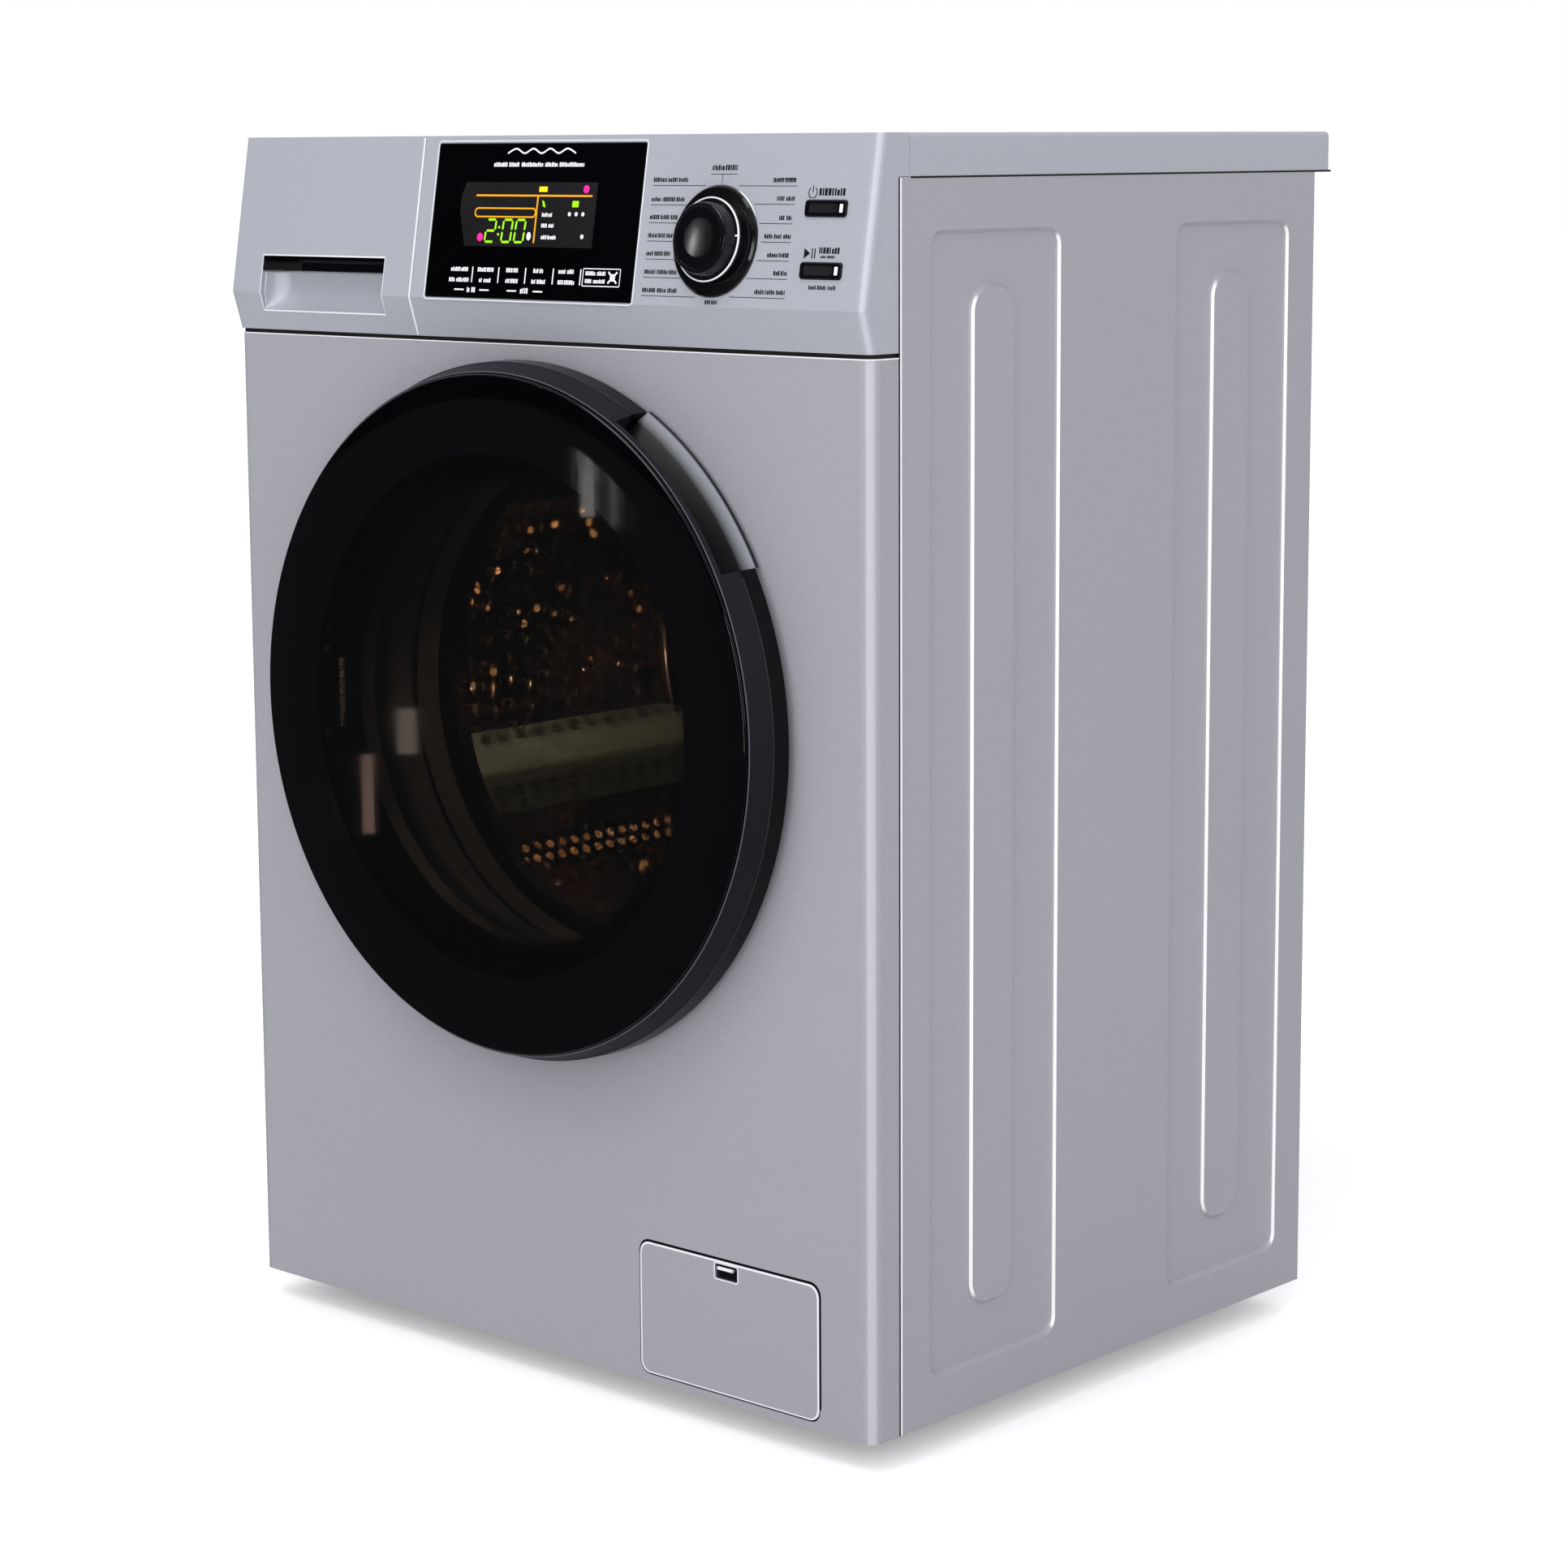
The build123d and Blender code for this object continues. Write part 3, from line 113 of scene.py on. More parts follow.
class Mat:
    """Small helper that builds a node material, or the nodes of a world."""

    def __init__(self, name, world=False):
        self.owner = bpy.data.worlds.new(name) if world else bpy.data.materials.new(name)
        self.owner.use_nodes = True
        self.tree = self.owner.node_tree
        self.tree.nodes.clear()
        self.out = self.node("OutputWorld" if world else "OutputMaterial")
        self.coord = self.node("TexCoord")
        MATERIALS[name] = self.owner

    def node(self, kind, **values):
        """Adds a node; each value is one of its settings, or an input with its spaces as underscores."""
        n = self.tree.nodes.new("ShaderNode" + kind)
        for k, v in values.items():
            if hasattr(n, k):
                setattr(n, k, v)
            else:
                self.put(n.inputs[k.replace("_", " ")], v)
        return n

    def put(self, socket, v):
        if isinstance(v, bpy.types.NodeSocket):
            self.tree.links.new(v, socket)
        else:
            socket.default_value = v

    def parts(self, value, kind="SeparateXYZ"):
        """The separate outputs of a vector or a colour."""
        n = self.node(kind)
        self.put(n.inputs[0], value)
        return n.outputs

    def scaled(self, x=1, y=1, z=1):
        return self.node("Mapping", Vector=self.coord.outputs["Object"], Scale=(x, y, z)).outputs[0]

    def noise(self, scale, detail=3, rough=0.5, vector=None, distort=0):
        n = self.node("TexNoise", Scale=scale, Detail=detail, Roughness=rough, Distortion=distort)
        self.put(n.inputs["Vector"], vector or self.coord.outputs["Object"])
        return n.outputs[0]

    def voronoi(self, scale, out=0):
        return self.node("TexVoronoi", Scale=scale, Vector=self.coord.outputs["Object"]).outputs[out]

    def span(self, value, low, high, to_low=0.0, to_high=1.0):
        n = self.node("MapRange", Value=value, From_Min=low, From_Max=high, To_Min=to_low, To_Max=to_high)
        return n.outputs[0]

    def mix(self, fac, a, b):
        n = self.node("Mix", data_type="RGBA")
        for i, v in ((0, fac), (6, a), (7, b)):
            self.put(n.inputs[i], v)
        return n.outputs[2]

    def math(self, op, *values, clamp=False):
        n = self.node("Math", operation=op, use_clamp=clamp)
        for socket, v in zip(n.inputs, values):
            self.put(socket, v)
        return n.outputs[0]

    def bump(self, height, distance):
        return self.node("Bump", Height=height, Distance=distance, Strength=1.0).outputs[0]

    def finish(self, shader):
        self.put(self.out.inputs["Surface"], shader.outputs[0])

    def surface(self, **values):
        self.finish(self.node("BsdfPrincipled", **values))

    def either(self, fac, a, b):
        """Finishes with shader a where fac is 0 and shader b where it is 1."""
        n = self.node("MixShader")
        for socket, v in zip(n.inputs, (fac, a.outputs[0], b.outputs[0])):
            self.put(socket, v)
        self.finish(n)


def grey(v):
    return (v, v, v, 1)


def rgb(r, g, b):
    """A colour given as 8-bit screen values."""
    def linear(c):
        c /= 255
        return c / 12.92 if c <= 0.04045 else ((c + 0.055) / 1.055) ** 2.4
    return (linear(r), linear(g), linear(b), 1)


def shade(tone, k):
    """A tone made darker or lighter by the factor k."""
    return [min(0.98, c * k) for c in tone[:3]] + [1]


def silver(name, tone, flake_scale, metallic, rough, peel, edge, pressed=False):
    """Metallic silver paint or moulding: fine flakes, slow cloudiness and a little orange peel.

    Where the surface turns between front and side its colour is made brighter by the factor edge,
    a painted highlight. On the pressed side panels this painted highlight is kept to the outer half
    of each slope, and the slopes that turn to the rear are painted darker as shade.
    """
    mat = Mat(name)
    flake = mat.parts(mat.voronoi(flake_scale, out=1), "SeparateColor")[0]
    light = mat.mix(mat.span(flake, 0, 1), shade(tone, 0.9), shade(tone, 1.1))
    base = mat.mix(mat.span(mat.noise(5, 2), 0.3, 0.7, 0.0, 0.22), light, shade(tone, 0.9))
    turned = mat.parts(mat.coord.outputs["Normal"])
    diagonal = mat.math("MULTIPLY", mat.math("ABSOLUTE", turned[0]), turned[1])
    # painted highlight where the surface turns between front and side
    painted_highlight = mat.span(diagonal, -0.34, -0.44)
    if pressed:
        aside = mat.parts(mat.coord.outputs["Object"])[0]
        outer = mat.span(mat.math("ABSOLUTE", aside), 0.2966, 0.2969)
        painted_highlight = mat.math("MULTIPLY", painted_highlight, outer)
        # painted shade: slopes that turn to the rear are made darker
        dark = mat.math("MULTIPLY", mat.span(diagonal, 0.30, 0.42, 0.0, 0.6), outer)
        base = mat.mix(dark, base, shade(tone, 0.55))
    mat.surface(
        Base_Color=mat.mix(painted_highlight, base, shade(tone, edge)),
        Metallic=metallic,
        Roughness=mat.span(mat.noise(700, 2, 0.6), 0.2, 0.8, rough - 0.05, rough + 0.05),
        Normal=mat.bump(mat.noise(260, 2), peel),
    )


def steel(name, tone, rough, streak, scale=(1, 0.02, 1)):
    """Brushed or rolled bright metal, with streaks along the axis whose scale is small."""
    mat = Mat(name)
    lines = mat.noise(streak, 4, 0.7, mat.scaled(*scale))
    uneven = mat.span(mat.noise(9, 2), 0.3, 0.7, -0.03, 0.05)
    mat.surface(
        Base_Color=mat.mix(mat.span(lines, 0.3, 0.7), shade(tone, 0.82), tone),
        Metallic=1.0,
        Roughness=mat.math("ADD", mat.span(lines, 0.25, 0.75, rough - 0.08, rough + 0.06), uneven),
        Normal=mat.bump(lines, 0.00004),
    )


def galvanised():
    """Dull zinc with large flat crystals."""
    mat = Mat("galvanised_steel")
    cell = mat.parts(mat.voronoi(60, out=1), "SeparateColor")
    fern = mat.noise(240, 4, 0.7, distort=1.5)
    tone = mat.mix(cell[0], rgb(176, 180, 185), rgb(196, 199, 204))
    mat.surface(
        Base_Color=mat.mix(mat.span(fern, 0.35, 0.65, 0, 0.3), tone, rgb(150, 154, 160)),
        Metallic=0.6,
        Roughness=mat.span(cell[1], 0, 1, 0.46, 0.58),
        Normal=mat.bump(fern, 0.00005),
    )


def moulded(name, tone, rough, grain=900, depth=0.00006, vary=0.12, coat=0.0, metallic=0.0):
    """Injection moulding: fine spark-eroded grain and slight cloudiness."""
    mat = Mat(name)
    fine = mat.noise(grain, 3, 0.6)
    cloud = mat.noise(12, 3)
    grainy = mat.span(fine, 0.3, 0.7, rough - 0.06, rough + 0.06)
    mat.surface(
        Base_Color=mat.mix(mat.span(cloud, 0.3, 0.7), shade(tone, 1 - vary), tone),
        Roughness=mat.math("ADD", grainy, mat.span(cloud, 0.3, 0.7, -0.02, 0.03)),
        Metallic=metallic,
        Coat_Weight=coat,
        Coat_Roughness=0.06,
        Normal=mat.bump(fine, depth),
    )


def gloss_black(name, tone, rough):
    """Polished black with a little haze and upright wipe marks."""
    mat = Mat(name)
    haze = mat.noise(14, 4, 0.6)
    wipes = mat.span(mat.noise(160, 3, 0.7, mat.scaled(1, 1, 0.06)), 0.4, 0.8, 0, 0.03)
    mat.surface(
        Base_Color=mat.mix(mat.span(haze, 0.3, 0.7), tone, shade(tone, 1.5)),
        Roughness=mat.math("ADD", mat.span(haze, 0.35, 0.7, rough, rough + 0.04), wipes),
        Specular_IOR_Level=0.5,
        Normal=mat.bump(mat.noise(60, 2), 0.000004),
    )


def smoked_glass(name, tone, alpha, rough):
    mat = Mat(name)
    haze = mat.noise(8, 4, 0.6)
    mat.surface(
        Base_Color=mat.mix(mat.span(haze, 0.3, 0.7), tone, shade(tone, 1.6)),
        Roughness=mat.span(haze, 0.3, 0.75, rough, rough + 0.05),
        Alpha=alpha,
        IOR=1.5,
    )


def from_axis(mat):
    """Distance from the drum axis and place along it, for a piece whose origin is the frame's."""
    x, y, z = mat.parts(mat.coord.outputs["Object"])
    up = mat.math("SUBTRACT", z, DRUM_Z)
    square = mat.math("ADD", mat.math("MULTIPLY", x, x), mat.math("MULTIPLY", up, up))
    return mat.math("SQRT", square), y


def handle_painted_shade():
    """Silver next to the panel, fading to gloss black towards the glass as painted shade, with a painted dark
    shadow line along its outer edge.
    """
    mat = Mat("handle_silver_painted_shade")
    r, _ = from_axis(mat)
    fine = mat.noise(800, 3)
    # painted shade: black towards the glass, where the recess under the glass lies in shadow
    tone = mat.mix(mat.span(r, 0.2290, 0.2348), rgb(5, 5, 7), rgb(134, 136, 145))
    mat.surface(
        # painted shadow: a dark line along the handle's outer edge
        Base_Color=mat.mix(mat.span(r, 0.2353, 0.2357), tone, rgb(26, 28, 34)),
        Roughness=mat.span(fine, 0.3, 0.7, 0.32, 0.40),
        Specular_IOR_Level=0.35,
        Normal=mat.bump(fine, 0.00002),
    )


def ring_two_tone():
    """Door ring: satin dark grey over its front part and gloss black behind."""
    mat = Mat("ring_two_tone")
    _, y = from_axis(mat)
    fine = mat.noise(700, 3)
    front = mat.span(y, FRONT - 0.0200, FRONT - 0.0210)
    grainy = mat.span(fine, 0.3, 0.7, 0, 0.06)
    mat.surface(
        Base_Color=mat.mix(front, rgb(4, 4, 6), rgb(26, 26, 32)),
        Roughness=mat.math("ADD", mat.span(front, 0, 1, 0.2, 0.42), grainy),
        Specular_IOR_Level=0.16,
        Normal=mat.bump(fine, 0.00003),
    )


def cast_iron():
    mat = Mat("cast_weight")
    pits = mat.span(mat.voronoi(260), 0, 0.4)
    sand = mat.noise(420, 4, 0.7)
    mat.surface(
        Base_Color=mat.mix(mat.span(sand, 0.3, 0.7), rgb(92, 92, 94), rgb(140, 139, 138)),
        Roughness=mat.span(sand, 0.3, 0.7, 0.75, 0.95),
        Normal=mat.bump(mat.math("ADD", pits, sand), 0.0006),
    )


def circuit():
    """Green board with a faint grid of tracks."""
    mat = Mat("circuit_green")
    track = mat.node("TexBrick", Scale=60, Mortar_Size=0.06, Vector=mat.scaled(1, 1, 2)).outputs[1]
    mat.surface(
        Base_Color=mat.mix(mat.span(track, 0, 1, 0, 0.5), rgb(22, 92, 52), rgb(120, 150, 70)),
        Roughness=mat.span(mat.noise(500, 3), 0.3, 0.7, 0.35, 0.5),
        Normal=mat.bump(track, 0.0001),
    )


def print_ink(name, tone, glow=0.0):
    """Printed or lit marks, with slightly uneven ink."""
    mat = Mat(name)
    spots = mat.noise(900, 2)
    base = mat.mix(mat.span(spots, 0.3, 0.7), shade(tone, 0.85), tone)
    lit = dict(Emission_Color=base, Emission_Strength=glow) if glow else {}
    mat.surface(Base_Color=base, Roughness=mat.span(spots, 0.3, 0.7, 0.4, 0.55), **lit)


# the last number, edge, is how much brighter the colour is painted where the surface turns: a painted
# highlight
silver("silver_paint", rgb(168, 168, 176), 2600, 0.12, 0.42, 0.00003, 1.3)
silver("silver_side", rgb(168, 168, 176), 2600, 0.12, 0.42, 0.00003, 2.6, pressed=True)
silver("silver_plastic", rgb(175, 177, 187), 3200, 0.10, 0.38, 0.00002, 1.25)
steel("drum_steel", rgb(112, 104, 96), 0.12, 120)
steel("stainless_steel", rgb(205, 203, 200), 0.26, 240)
steel("chrome", rgb(215, 215, 218), 0.12, 300, (1, 1, 0.02))
galvanised()
cast_iron()
circuit()
handle_painted_shade()
ring_two_tone()
gloss_black("black_glass", rgb(2, 2, 4), 0.015)
gloss_black("black_gloss", rgb(8, 8, 11), 0.05)
gloss_black("screen_grey", rgb(27, 26, 28), 0.14)
smoked_glass("dark_glass", rgb(2, 2, 3), 0.70, 0.01)
smoked_glass("bowl_glass", rgb(10, 10, 11), 0.12, 0.03)
# near-white for beads that stand for bright edges: painted highlight
moulded("edge_light", rgb(240, 241, 247), 0.3, vary=0.05, coat=0.3)
# grey for the painted shine on the door glass's edge
moulded("edge_shine", rgb(84, 86, 96), 0.3, coat=0.2)
# grey for the painted highlight line round the door ring
moulded("ring_grey", rgb(46, 46, 52), 0.40, coat=0.3)
# pale warm colour for the hole lips: painted glints
moulded("warm_steel", rgb(255, 218, 168), 0.25, vary=0.2)
moulded("cast_aluminium", rgb(176, 178, 182), 0.48, 500, 0.00015, metallic=0.8)
moulded("lifter_plastic", rgb(122, 138, 128), 0.5, vary=0.1)
moulded("black_plastic", rgb(34, 34, 37), 0.46)
moulded("white_plastic", rgb(226, 226, 223), 0.42, vary=0.05)
moulded("tub_plastic", rgb(38, 39, 42), 0.6, 600, 0.0001)
moulded("foot_plastic", rgb(40, 40, 43), 0.5)
moulded("grey_rubber", rgb(40, 41, 44), 0.66, 500, 0.00008)
moulded("black_rubber", rgb(30, 30, 31), 0.68, 500, 0.0001)
print_ink("ink_white", rgb(226, 226, 232), 0.35)
print_ink("ink_dark", rgb(16, 16, 20))
print_ink("glow_orange", rgb(222, 150, 10), 0.55)
print_ink("glow_green", rgb(140, 215, 10), 0.8)
print_ink("glow_pink", rgb(240, 30, 140), 0.8)
print_ink("glow_yellow", rgb(250, 205, 0), 0.8)

# the CAD pieces take the material of their slot, apart from these
OWN_MATERIAL = {
    "side_panel_left": "silver_side", "side_panel_right": "silver_side", "door_handle": "handle_silver_painted_shade",
    "door_outer_ring": "ring_two_tone", "drum_lifters": "lifter_plastic", "service_flap": "silver_paint",
}
slot_of = {s["node"]: s["material_slot"] for s in frame["record"]["subparts"]}
for name, piece in nodes.items():
    piece.data.materials.clear()
    piece.data.materials.append(MATERIALS[OWN_MATERIAL.get(name, slot_of[name])])


# -------------------------------- mesh helpers
def finish_mesh(name, bm, material, body, smooth=35, replaces=()):
    """Turns a bmesh into a piece that rides on a body."""
    bmesh.ops.recalc_face_normals(bm, faces=bm.faces)
    mesh = bpy.data.meshes.new(name)
    bm.to_mesh(mesh)
    bm.free()
    for m in material if isinstance(material, (list, tuple)) else [material]:
        mesh.materials.append(MATERIALS[m])
    if smooth:
        mesh.shade_smooth()
        mesh.set_sharp_from_angle(angle=math.radians(smooth))
    piece = add_object(name, mesh)
    if body:
        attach(piece, body)
    if replaces:
        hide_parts(*replaces)
    return piece


# -------------------------------- shape helpers
def join_rows(bm, a, b, closed=True):
    """Quads between two rows with the same number of vertices."""
    for i in range(len(a) if closed else len(a) - 1):
        j = (i + 1) % len(a)
        bm.faces.new((a[i], a[j], b[j], b[i]))


def prism(bm, outline, low, high, place=on_facet):
    """Closed prism over an outline between two lifts; place(x, z, lift) puts each point."""
    rings = [[bm.verts.new(place(x, z, lift)) for x, z in outline] for lift in (low, high)]
    bm.faces.new(rings[1])
    bm.faces.new(rings[0][::-1])
    join_rows(bm, *rings)


def loop_band(bm, outer, inner, low, high, place=on_facet, closed=True):
    """Flat band between two lines with the same number of points. An open one gets end faces."""
    edges = ((outer, low), (outer, high), (inner, high), (inner, low))
    rings = [[bm.verts.new(place(x, z, lift)) for x, z in line] for line, lift in edges]
    for a, b in zip(rings, rings[1:] + rings[:1]):
        join_rows(bm, a, b, closed)
    if not closed:
        for i in (0, -1):
            bm.faces.new([ring[i] for ring in rings])


def oval(x, z, rx, rz=None, n=24, start=0.0, turn=360.0):
    """Points of an oval, or of an arc of one, with start and turn in degrees."""
    rz = rz or rx
    angles = [math.radians(start + turn * i / n) for i in range(n if turn >= 360 else n + 1)]
    return [(x + rx * math.cos(a), z + rz * math.sin(a)) for a in angles]


def rounded(x0, z0, x1, z1, r, n=5):
    """Rectangle with round corners, from the right end of its upper right corner."""
    corners = ((x1 - r, z1 - r, 0), (x0 + r, z1 - r, 90), (x0 + r, z0 + r, 180), (x1 - r, z0 + r, 270))
    points = []
    for x, z, start in corners:
        points += oval(x, z, r, n=n, start=start, turn=90)
    return points


def stroke(points, width):
    """Outline of an open line of the given width, with mitred corners."""
    sides = ([], [])
    for i, p in enumerate(points):
        p = Vector(p)
        before = (p - Vector(points[i - 1])).normalized() if i else None
        after = (Vector(points[i + 1]) - p).normalized() if i + 1 < len(points) else None
        along = ((before or after) + (after or before)).normalized()
        across = Vector((-along.y, along.x))
        square = Vector((-(after or before).y, (after or before).x))
        grow = width / 2 / max(0.4, abs(across.dot(square)))
        sides[0].append(tuple(p + across * grow))
        sides[1].append(tuple(p - across * grow))
    return sides[0] + sides[1][::-1]


def smooth_line(points, steps=6):
    """Catmull-Rom curve through the points."""
    last = len(points) - 1
    made = []
    for i in range(last):
        a, b, c, d = (Vector(points[min(max(k, 0), last)]) for k in (i - 1, i, i + 1, i + 2))
        for k in range(steps):
            t = k / steps
            bend = (a * 2 - b * 5 + c * 4 - d) * t ** 2 + (b * 3 - a - c * 3 + d) * t ** 3
            made.append((b * 2 + (c - a) * t + bend) / 2)
    made.append(Vector(points[-1]))
    return [tuple(p) for p in made]


def about_drum(y, r, clock):
    """A point y behind the front face and r from the drum axis, in mm, at a clock angle in degrees."""
    a = math.radians(clock)
    return Vector((r * math.sin(a) / 1000, FRONT + y / 1000, DRUM_Z + r * math.cos(a) / 1000))


def about_knob(lift, r, degrees):
    """A point above the leaning face and r from the knob's axis, in millimetres."""
    a = math.radians(degrees)
    around = Vector((1, 0, 0)) * math.cos(a) + UP_FACET * math.sin(a)
    return on_facet(*KNOB_CENTRE, lift) + around * r / 1000


def on_wall(x, z, lift):
    """A point on the upright front face, all in millimetres."""
    return Vector((x / 1000, FRONT - lift / 1000, z / 1000))


def lathe(bm, profile, place, n, closed=False, start=0.0, turn=360.0):
    """Turns a profile of (along, radius) points; place(along, radius, degrees) gives a point."""
    whole = turn >= 360
    rows = []
    for along, r in profile:
        if r < 1e-6:
            rows.append([bm.verts.new(place(along, 0, 0))])
        else:
            turns = [start + turn * i / n for i in range(n if whole else n + 1)]
            rows.append([bm.verts.new(place(along, r, degrees)) for degrees in turns])
    pairs = list(zip(rows, rows[1:])) + ([(rows[-1], rows[0])] if closed else [])
    for a, b in pairs:
        count = max(len(a), len(b))
        for i in range(count if whole else count - 1):
            j = (i + 1) % count
            corners = [a[i % len(a)], a[j % len(a)], b[j % len(b)], b[i % len(b)]]
            unique = list(dict.fromkeys(corners))
            if len(unique) > 2:
                bm.faces.new(unique)
    if not whole and closed:
        bm.faces.new([row[0] for row in rows])
        bm.faces.new([row[-1] for row in rows][::-1])


def bead(bm, path, r, out, closed=False, n=8):
    """Round bead of radius r along points in metres; out is the direction away from the surface."""
    count = len(path)
    rows = []
    for i, p in enumerate(path):
        before = path[(i - 1) % count] if closed or i else p
        after = path[(i + 1) % count] if closed or i + 1 < count else p
        along = (after - before).normalized()
        side = along.cross(out).normalized()
        top = side.cross(along).normalized()
        mitre = 1.0
        if before is not p and after is not p:
            mitre = 1 / max(0.5, math.cos((p - before).angle(after - p) / 2))
        ring = []
        for k in range(n):
            a = 2 * math.pi * k / n
            ring.append(bm.verts.new(p + side * (math.cos(a) * r * mitre) + top * (math.sin(a) * r)))
        rows.append(ring)
    for a, b in zip(rows, rows[1:] + rows[:1] if closed else rows[1:]):
        join_rows(bm, a, b)
    if not closed:
        bm.faces.new(rows[0][::-1])
        bm.faces.new(rows[-1])


def bead_piece(name, paths, r, material, body, closed=False, n=8):
    """Piece made of round beads; paths holds pairs of points and the direction away from the surface."""
    bm = bmesh.new()
    for path, out in paths:
        bead(bm, path, r, out, closed, n)
    return finish_mesh(name, bm, material, body)


def turned_piece(name, profile, place, n, material, body, slot, replaces=(), **turning):
    bm = bmesh.new()
    lathe(bm, profile, place, n, **turning)
    return finish_mesh(name, bm, material, body, replaces=replaces)


def thicken(piece, thickness):
    """Gives a sheet its thickness, half on each side."""
    solid = piece.modifiers.new("thickness", "SOLIDIFY")
    solid.thickness = thickness
    solid.offset = 0


# -------------------------------- display and printed marks
def marks(name, shapes, material, slot, body="cabinet", low=0.3, high=0.5, place=on_facet):
    """Thin raised marks; a pair of outlines makes a frame, and a single outline a solid mark."""
    bm = bmesh.new()
    for shape in shapes:
        if isinstance(shape, tuple):
            loop_band(bm, shape[0], shape[1], low, high, place)
        else:
            prism(bm, shape, low, high, place)
    return finish_mesh(name, bm, material, body, smooth=0)


def bar(x0, z0, x1, z1, r=0.35):
    return rounded(x0, z0, x1, z1, min(r, abs(x1 - x0) / 2.1, abs(z1 - z0) / 2.1), 3)


def framed(x0, z0, x1, z1, r, edge, r_inner):
    """Two outlines, one inside the other by the width of the edge."""
    return rounded(x0, z0, x1, z1, r), rounded(x0 + edge, z0 + edge, x1 - edge, z1 - edge, r_inner)


def word(x0, z0, x1, z1, cuts=(0.55,), gap=0.9):
    """Rows of small plain blocks of varied width and height in place of printed words."""
    edges = [0.0] + list(cuts) + [1.0]
    wide, tall = x1 - x0, z1 - z0
    blocks = []
    for i, (a, b) in enumerate(zip(edges, edges[1:])):
        x = x0 + wide * a + (gap / 2 if i else 0)
        end = x0 + wide * b - (gap / 2 if b < 1 else 0)
        while x < end - 0.2 * tall:
            step = tall * random.choice((0.28, 0.42, 0.5))
            top = z1 - random.choice((0.0, 0.0, 0.2)) * tall
            blocks.append(bar(x, z0, min(x + step, end), top, 0.12))
            x += step + 0.16 * tall
    return blocks


def digit(value, x, z, wide=8.6, high=14.6, thick=1.5, lean=0.09):
    """Seven-segment digit with its lower left corner at x, z."""
    lit = {"0": "abcdef", "2": "abged"}[value]
    half = high / 2
    spots = {
        "a": ((0, high), (wide, high)), "b": ((wide, high), (wide, half)), "c": ((wide, half), (wide, 0)),
        "d": ((0, 0), (wide, 0)), "e": ((0, half), (0, 0)), "f": ((0, high), (0, half)),
        "g": ((0, half), (wide, half)),
    }
    shapes = []
    for key in lit:
        a, b = (Vector(p) for p in spots[key])
        d = (b - a).normalized()
        side = Vector((-d.y, d.x)) * thick / 2
        a, b = a + d * thick * 0.35, b - d * thick * 0.35
        tip = d * thick / 2
        six = [a, a + tip + side, b - tip + side, b, b - tip - side, a + tip - side]
        shapes.append([(x + p.x + p.y * lean, z + p.y) for p in six])
    return shapes


def make_display():
    screen = [(-66, 811), (-66.5, 800), (-59, 777.0), (61.5, 777.0), (61.5, 819.2), (-62.5, 819.2)]
    marks("display_screen", [screen], "screen_grey", "black_glass", low=0.3, high=0.46)
    on = dict(low=0.4, high=0.56)
    orange = [bar(-52, 809.9, 57.5, 811.1), bar(6.4, 779.5, 7.7, 810.2)]
    orange.append((rounded(-52, 796.0, 6.6, 802.6, 3.0), rounded(-51.0, 797.0, 5.6, 801.6, 2.2)))
    marks("display_lines", orange, "glow_orange", "black_glass", **on)
    green = digit("2", -40, 780) + digit("0", -24.2, 780) + digit("0", -12, 780)
    green += [oval(-27.4, 785, 0.9, n=12), oval(-27.0, 789.6, 0.9, n=12)]
    green += [bar(39.8, 803.2, 45.6, 807.2), [(11.4, 807.6), (13.4, 806.6), (15.0, 802.8), (12.6, 803.6)]]
    marks("display_digits", green, "glow_green", "black_glass", **on)
    marks("display_dots", [oval(51.4, 814.9, 2.6), oval(-44.6, 783, 2.7)], "glow_pink", "black_glass", **on)
    marks("display_lamp", [bar(7.6, 813.0, 15.2, 816.4)], "glow_yellow", "black_glass", **on)
    white = word(12.4, 796.8, 22.4, 799.4)
    white += word(12.8, 789.8, 24.2, 792.4)
    white += word(13.6, 782.2, 27.6, 784.8, (0.4,))
    white += [oval(x, 798.7, 1.4, n=14) for x in (38, 44.2, 50.4)]
    white += [oval(51.6, 784.2, 1.5, n=14), oval(1.9, 784, 2.0, 2.7)]
    marks("display_signs", white, "ink_white", "black_glass", **on)


def make_touch_keys():
    """Two rows of blocks for each key, with lines between the keys, and one framed sign."""
    upper = ((-69.4, -52.2), (-43.4, -27.8), (-16, -4.4), (9.8, 19.6), (33.4, 47.4))
    lower = ((-70.4, -51.2), (-41.2, -29.6), (-15.8, -4.2), (8.8, 22.2), (33.6, 49.4))
    keys = []
    for (x0, x1), (x2, x3) in zip(upper, lower):
        keys += word(x0, 760.2, x1, 763.0) + word(x2, 753.2, x3, 756.0, (0.35,))
    keys += [bar(x - 0.5, 753.0, x + 0.5, 763.4) for x in (-48.3, -23.1, 2.5, 28.5, 54.0)]
    dashes = ((-64.4, -55), (-40, -30.8), (-13.6, -4.6), (11.2, 20.2))
    keys += [bar(x0, 747.6, x1, 748.6, 0.2) for x0, x1 in dashes]
    keys += word(-52, 746.4, -44.2, 749.8, (0.5,)) + word(-0.8, 746.6, 6.2, 750.2, (0.5,))
    keys += word(58.6, 759.6, 76.6, 762.2) + word(58.6, 754.6, 76.6, 757.2, (0.4,))
    keys += [stroke([(79.4, 754.8), (87.4, 762.0)], 1.3), stroke([(79.4, 762.0), (87.4, 754.8)], 1.3)]
    keys += [oval(83.4, 758.4, 2.4, n=14), framed(56.0, 752.4, 90.4, 764.2, 0.8, 0.6, 0.5)]
    # a plain wave and a row of blocks where the maker's words would be
    wave = smooth_line([(-26 + 8 * i, 839.2 + (2.0 if i % 2 else -1.0)) for i in range(9)], 6)
    keys += [stroke(wave, 1.1)]
    keys += word(-38, 829.4, 47, 832.2, (0.16, 0.3, 0.56, 0.72), 1.6)
    marks("display_keys", keys, "ink_white", "black_glass", low=0.3, high=0.46)


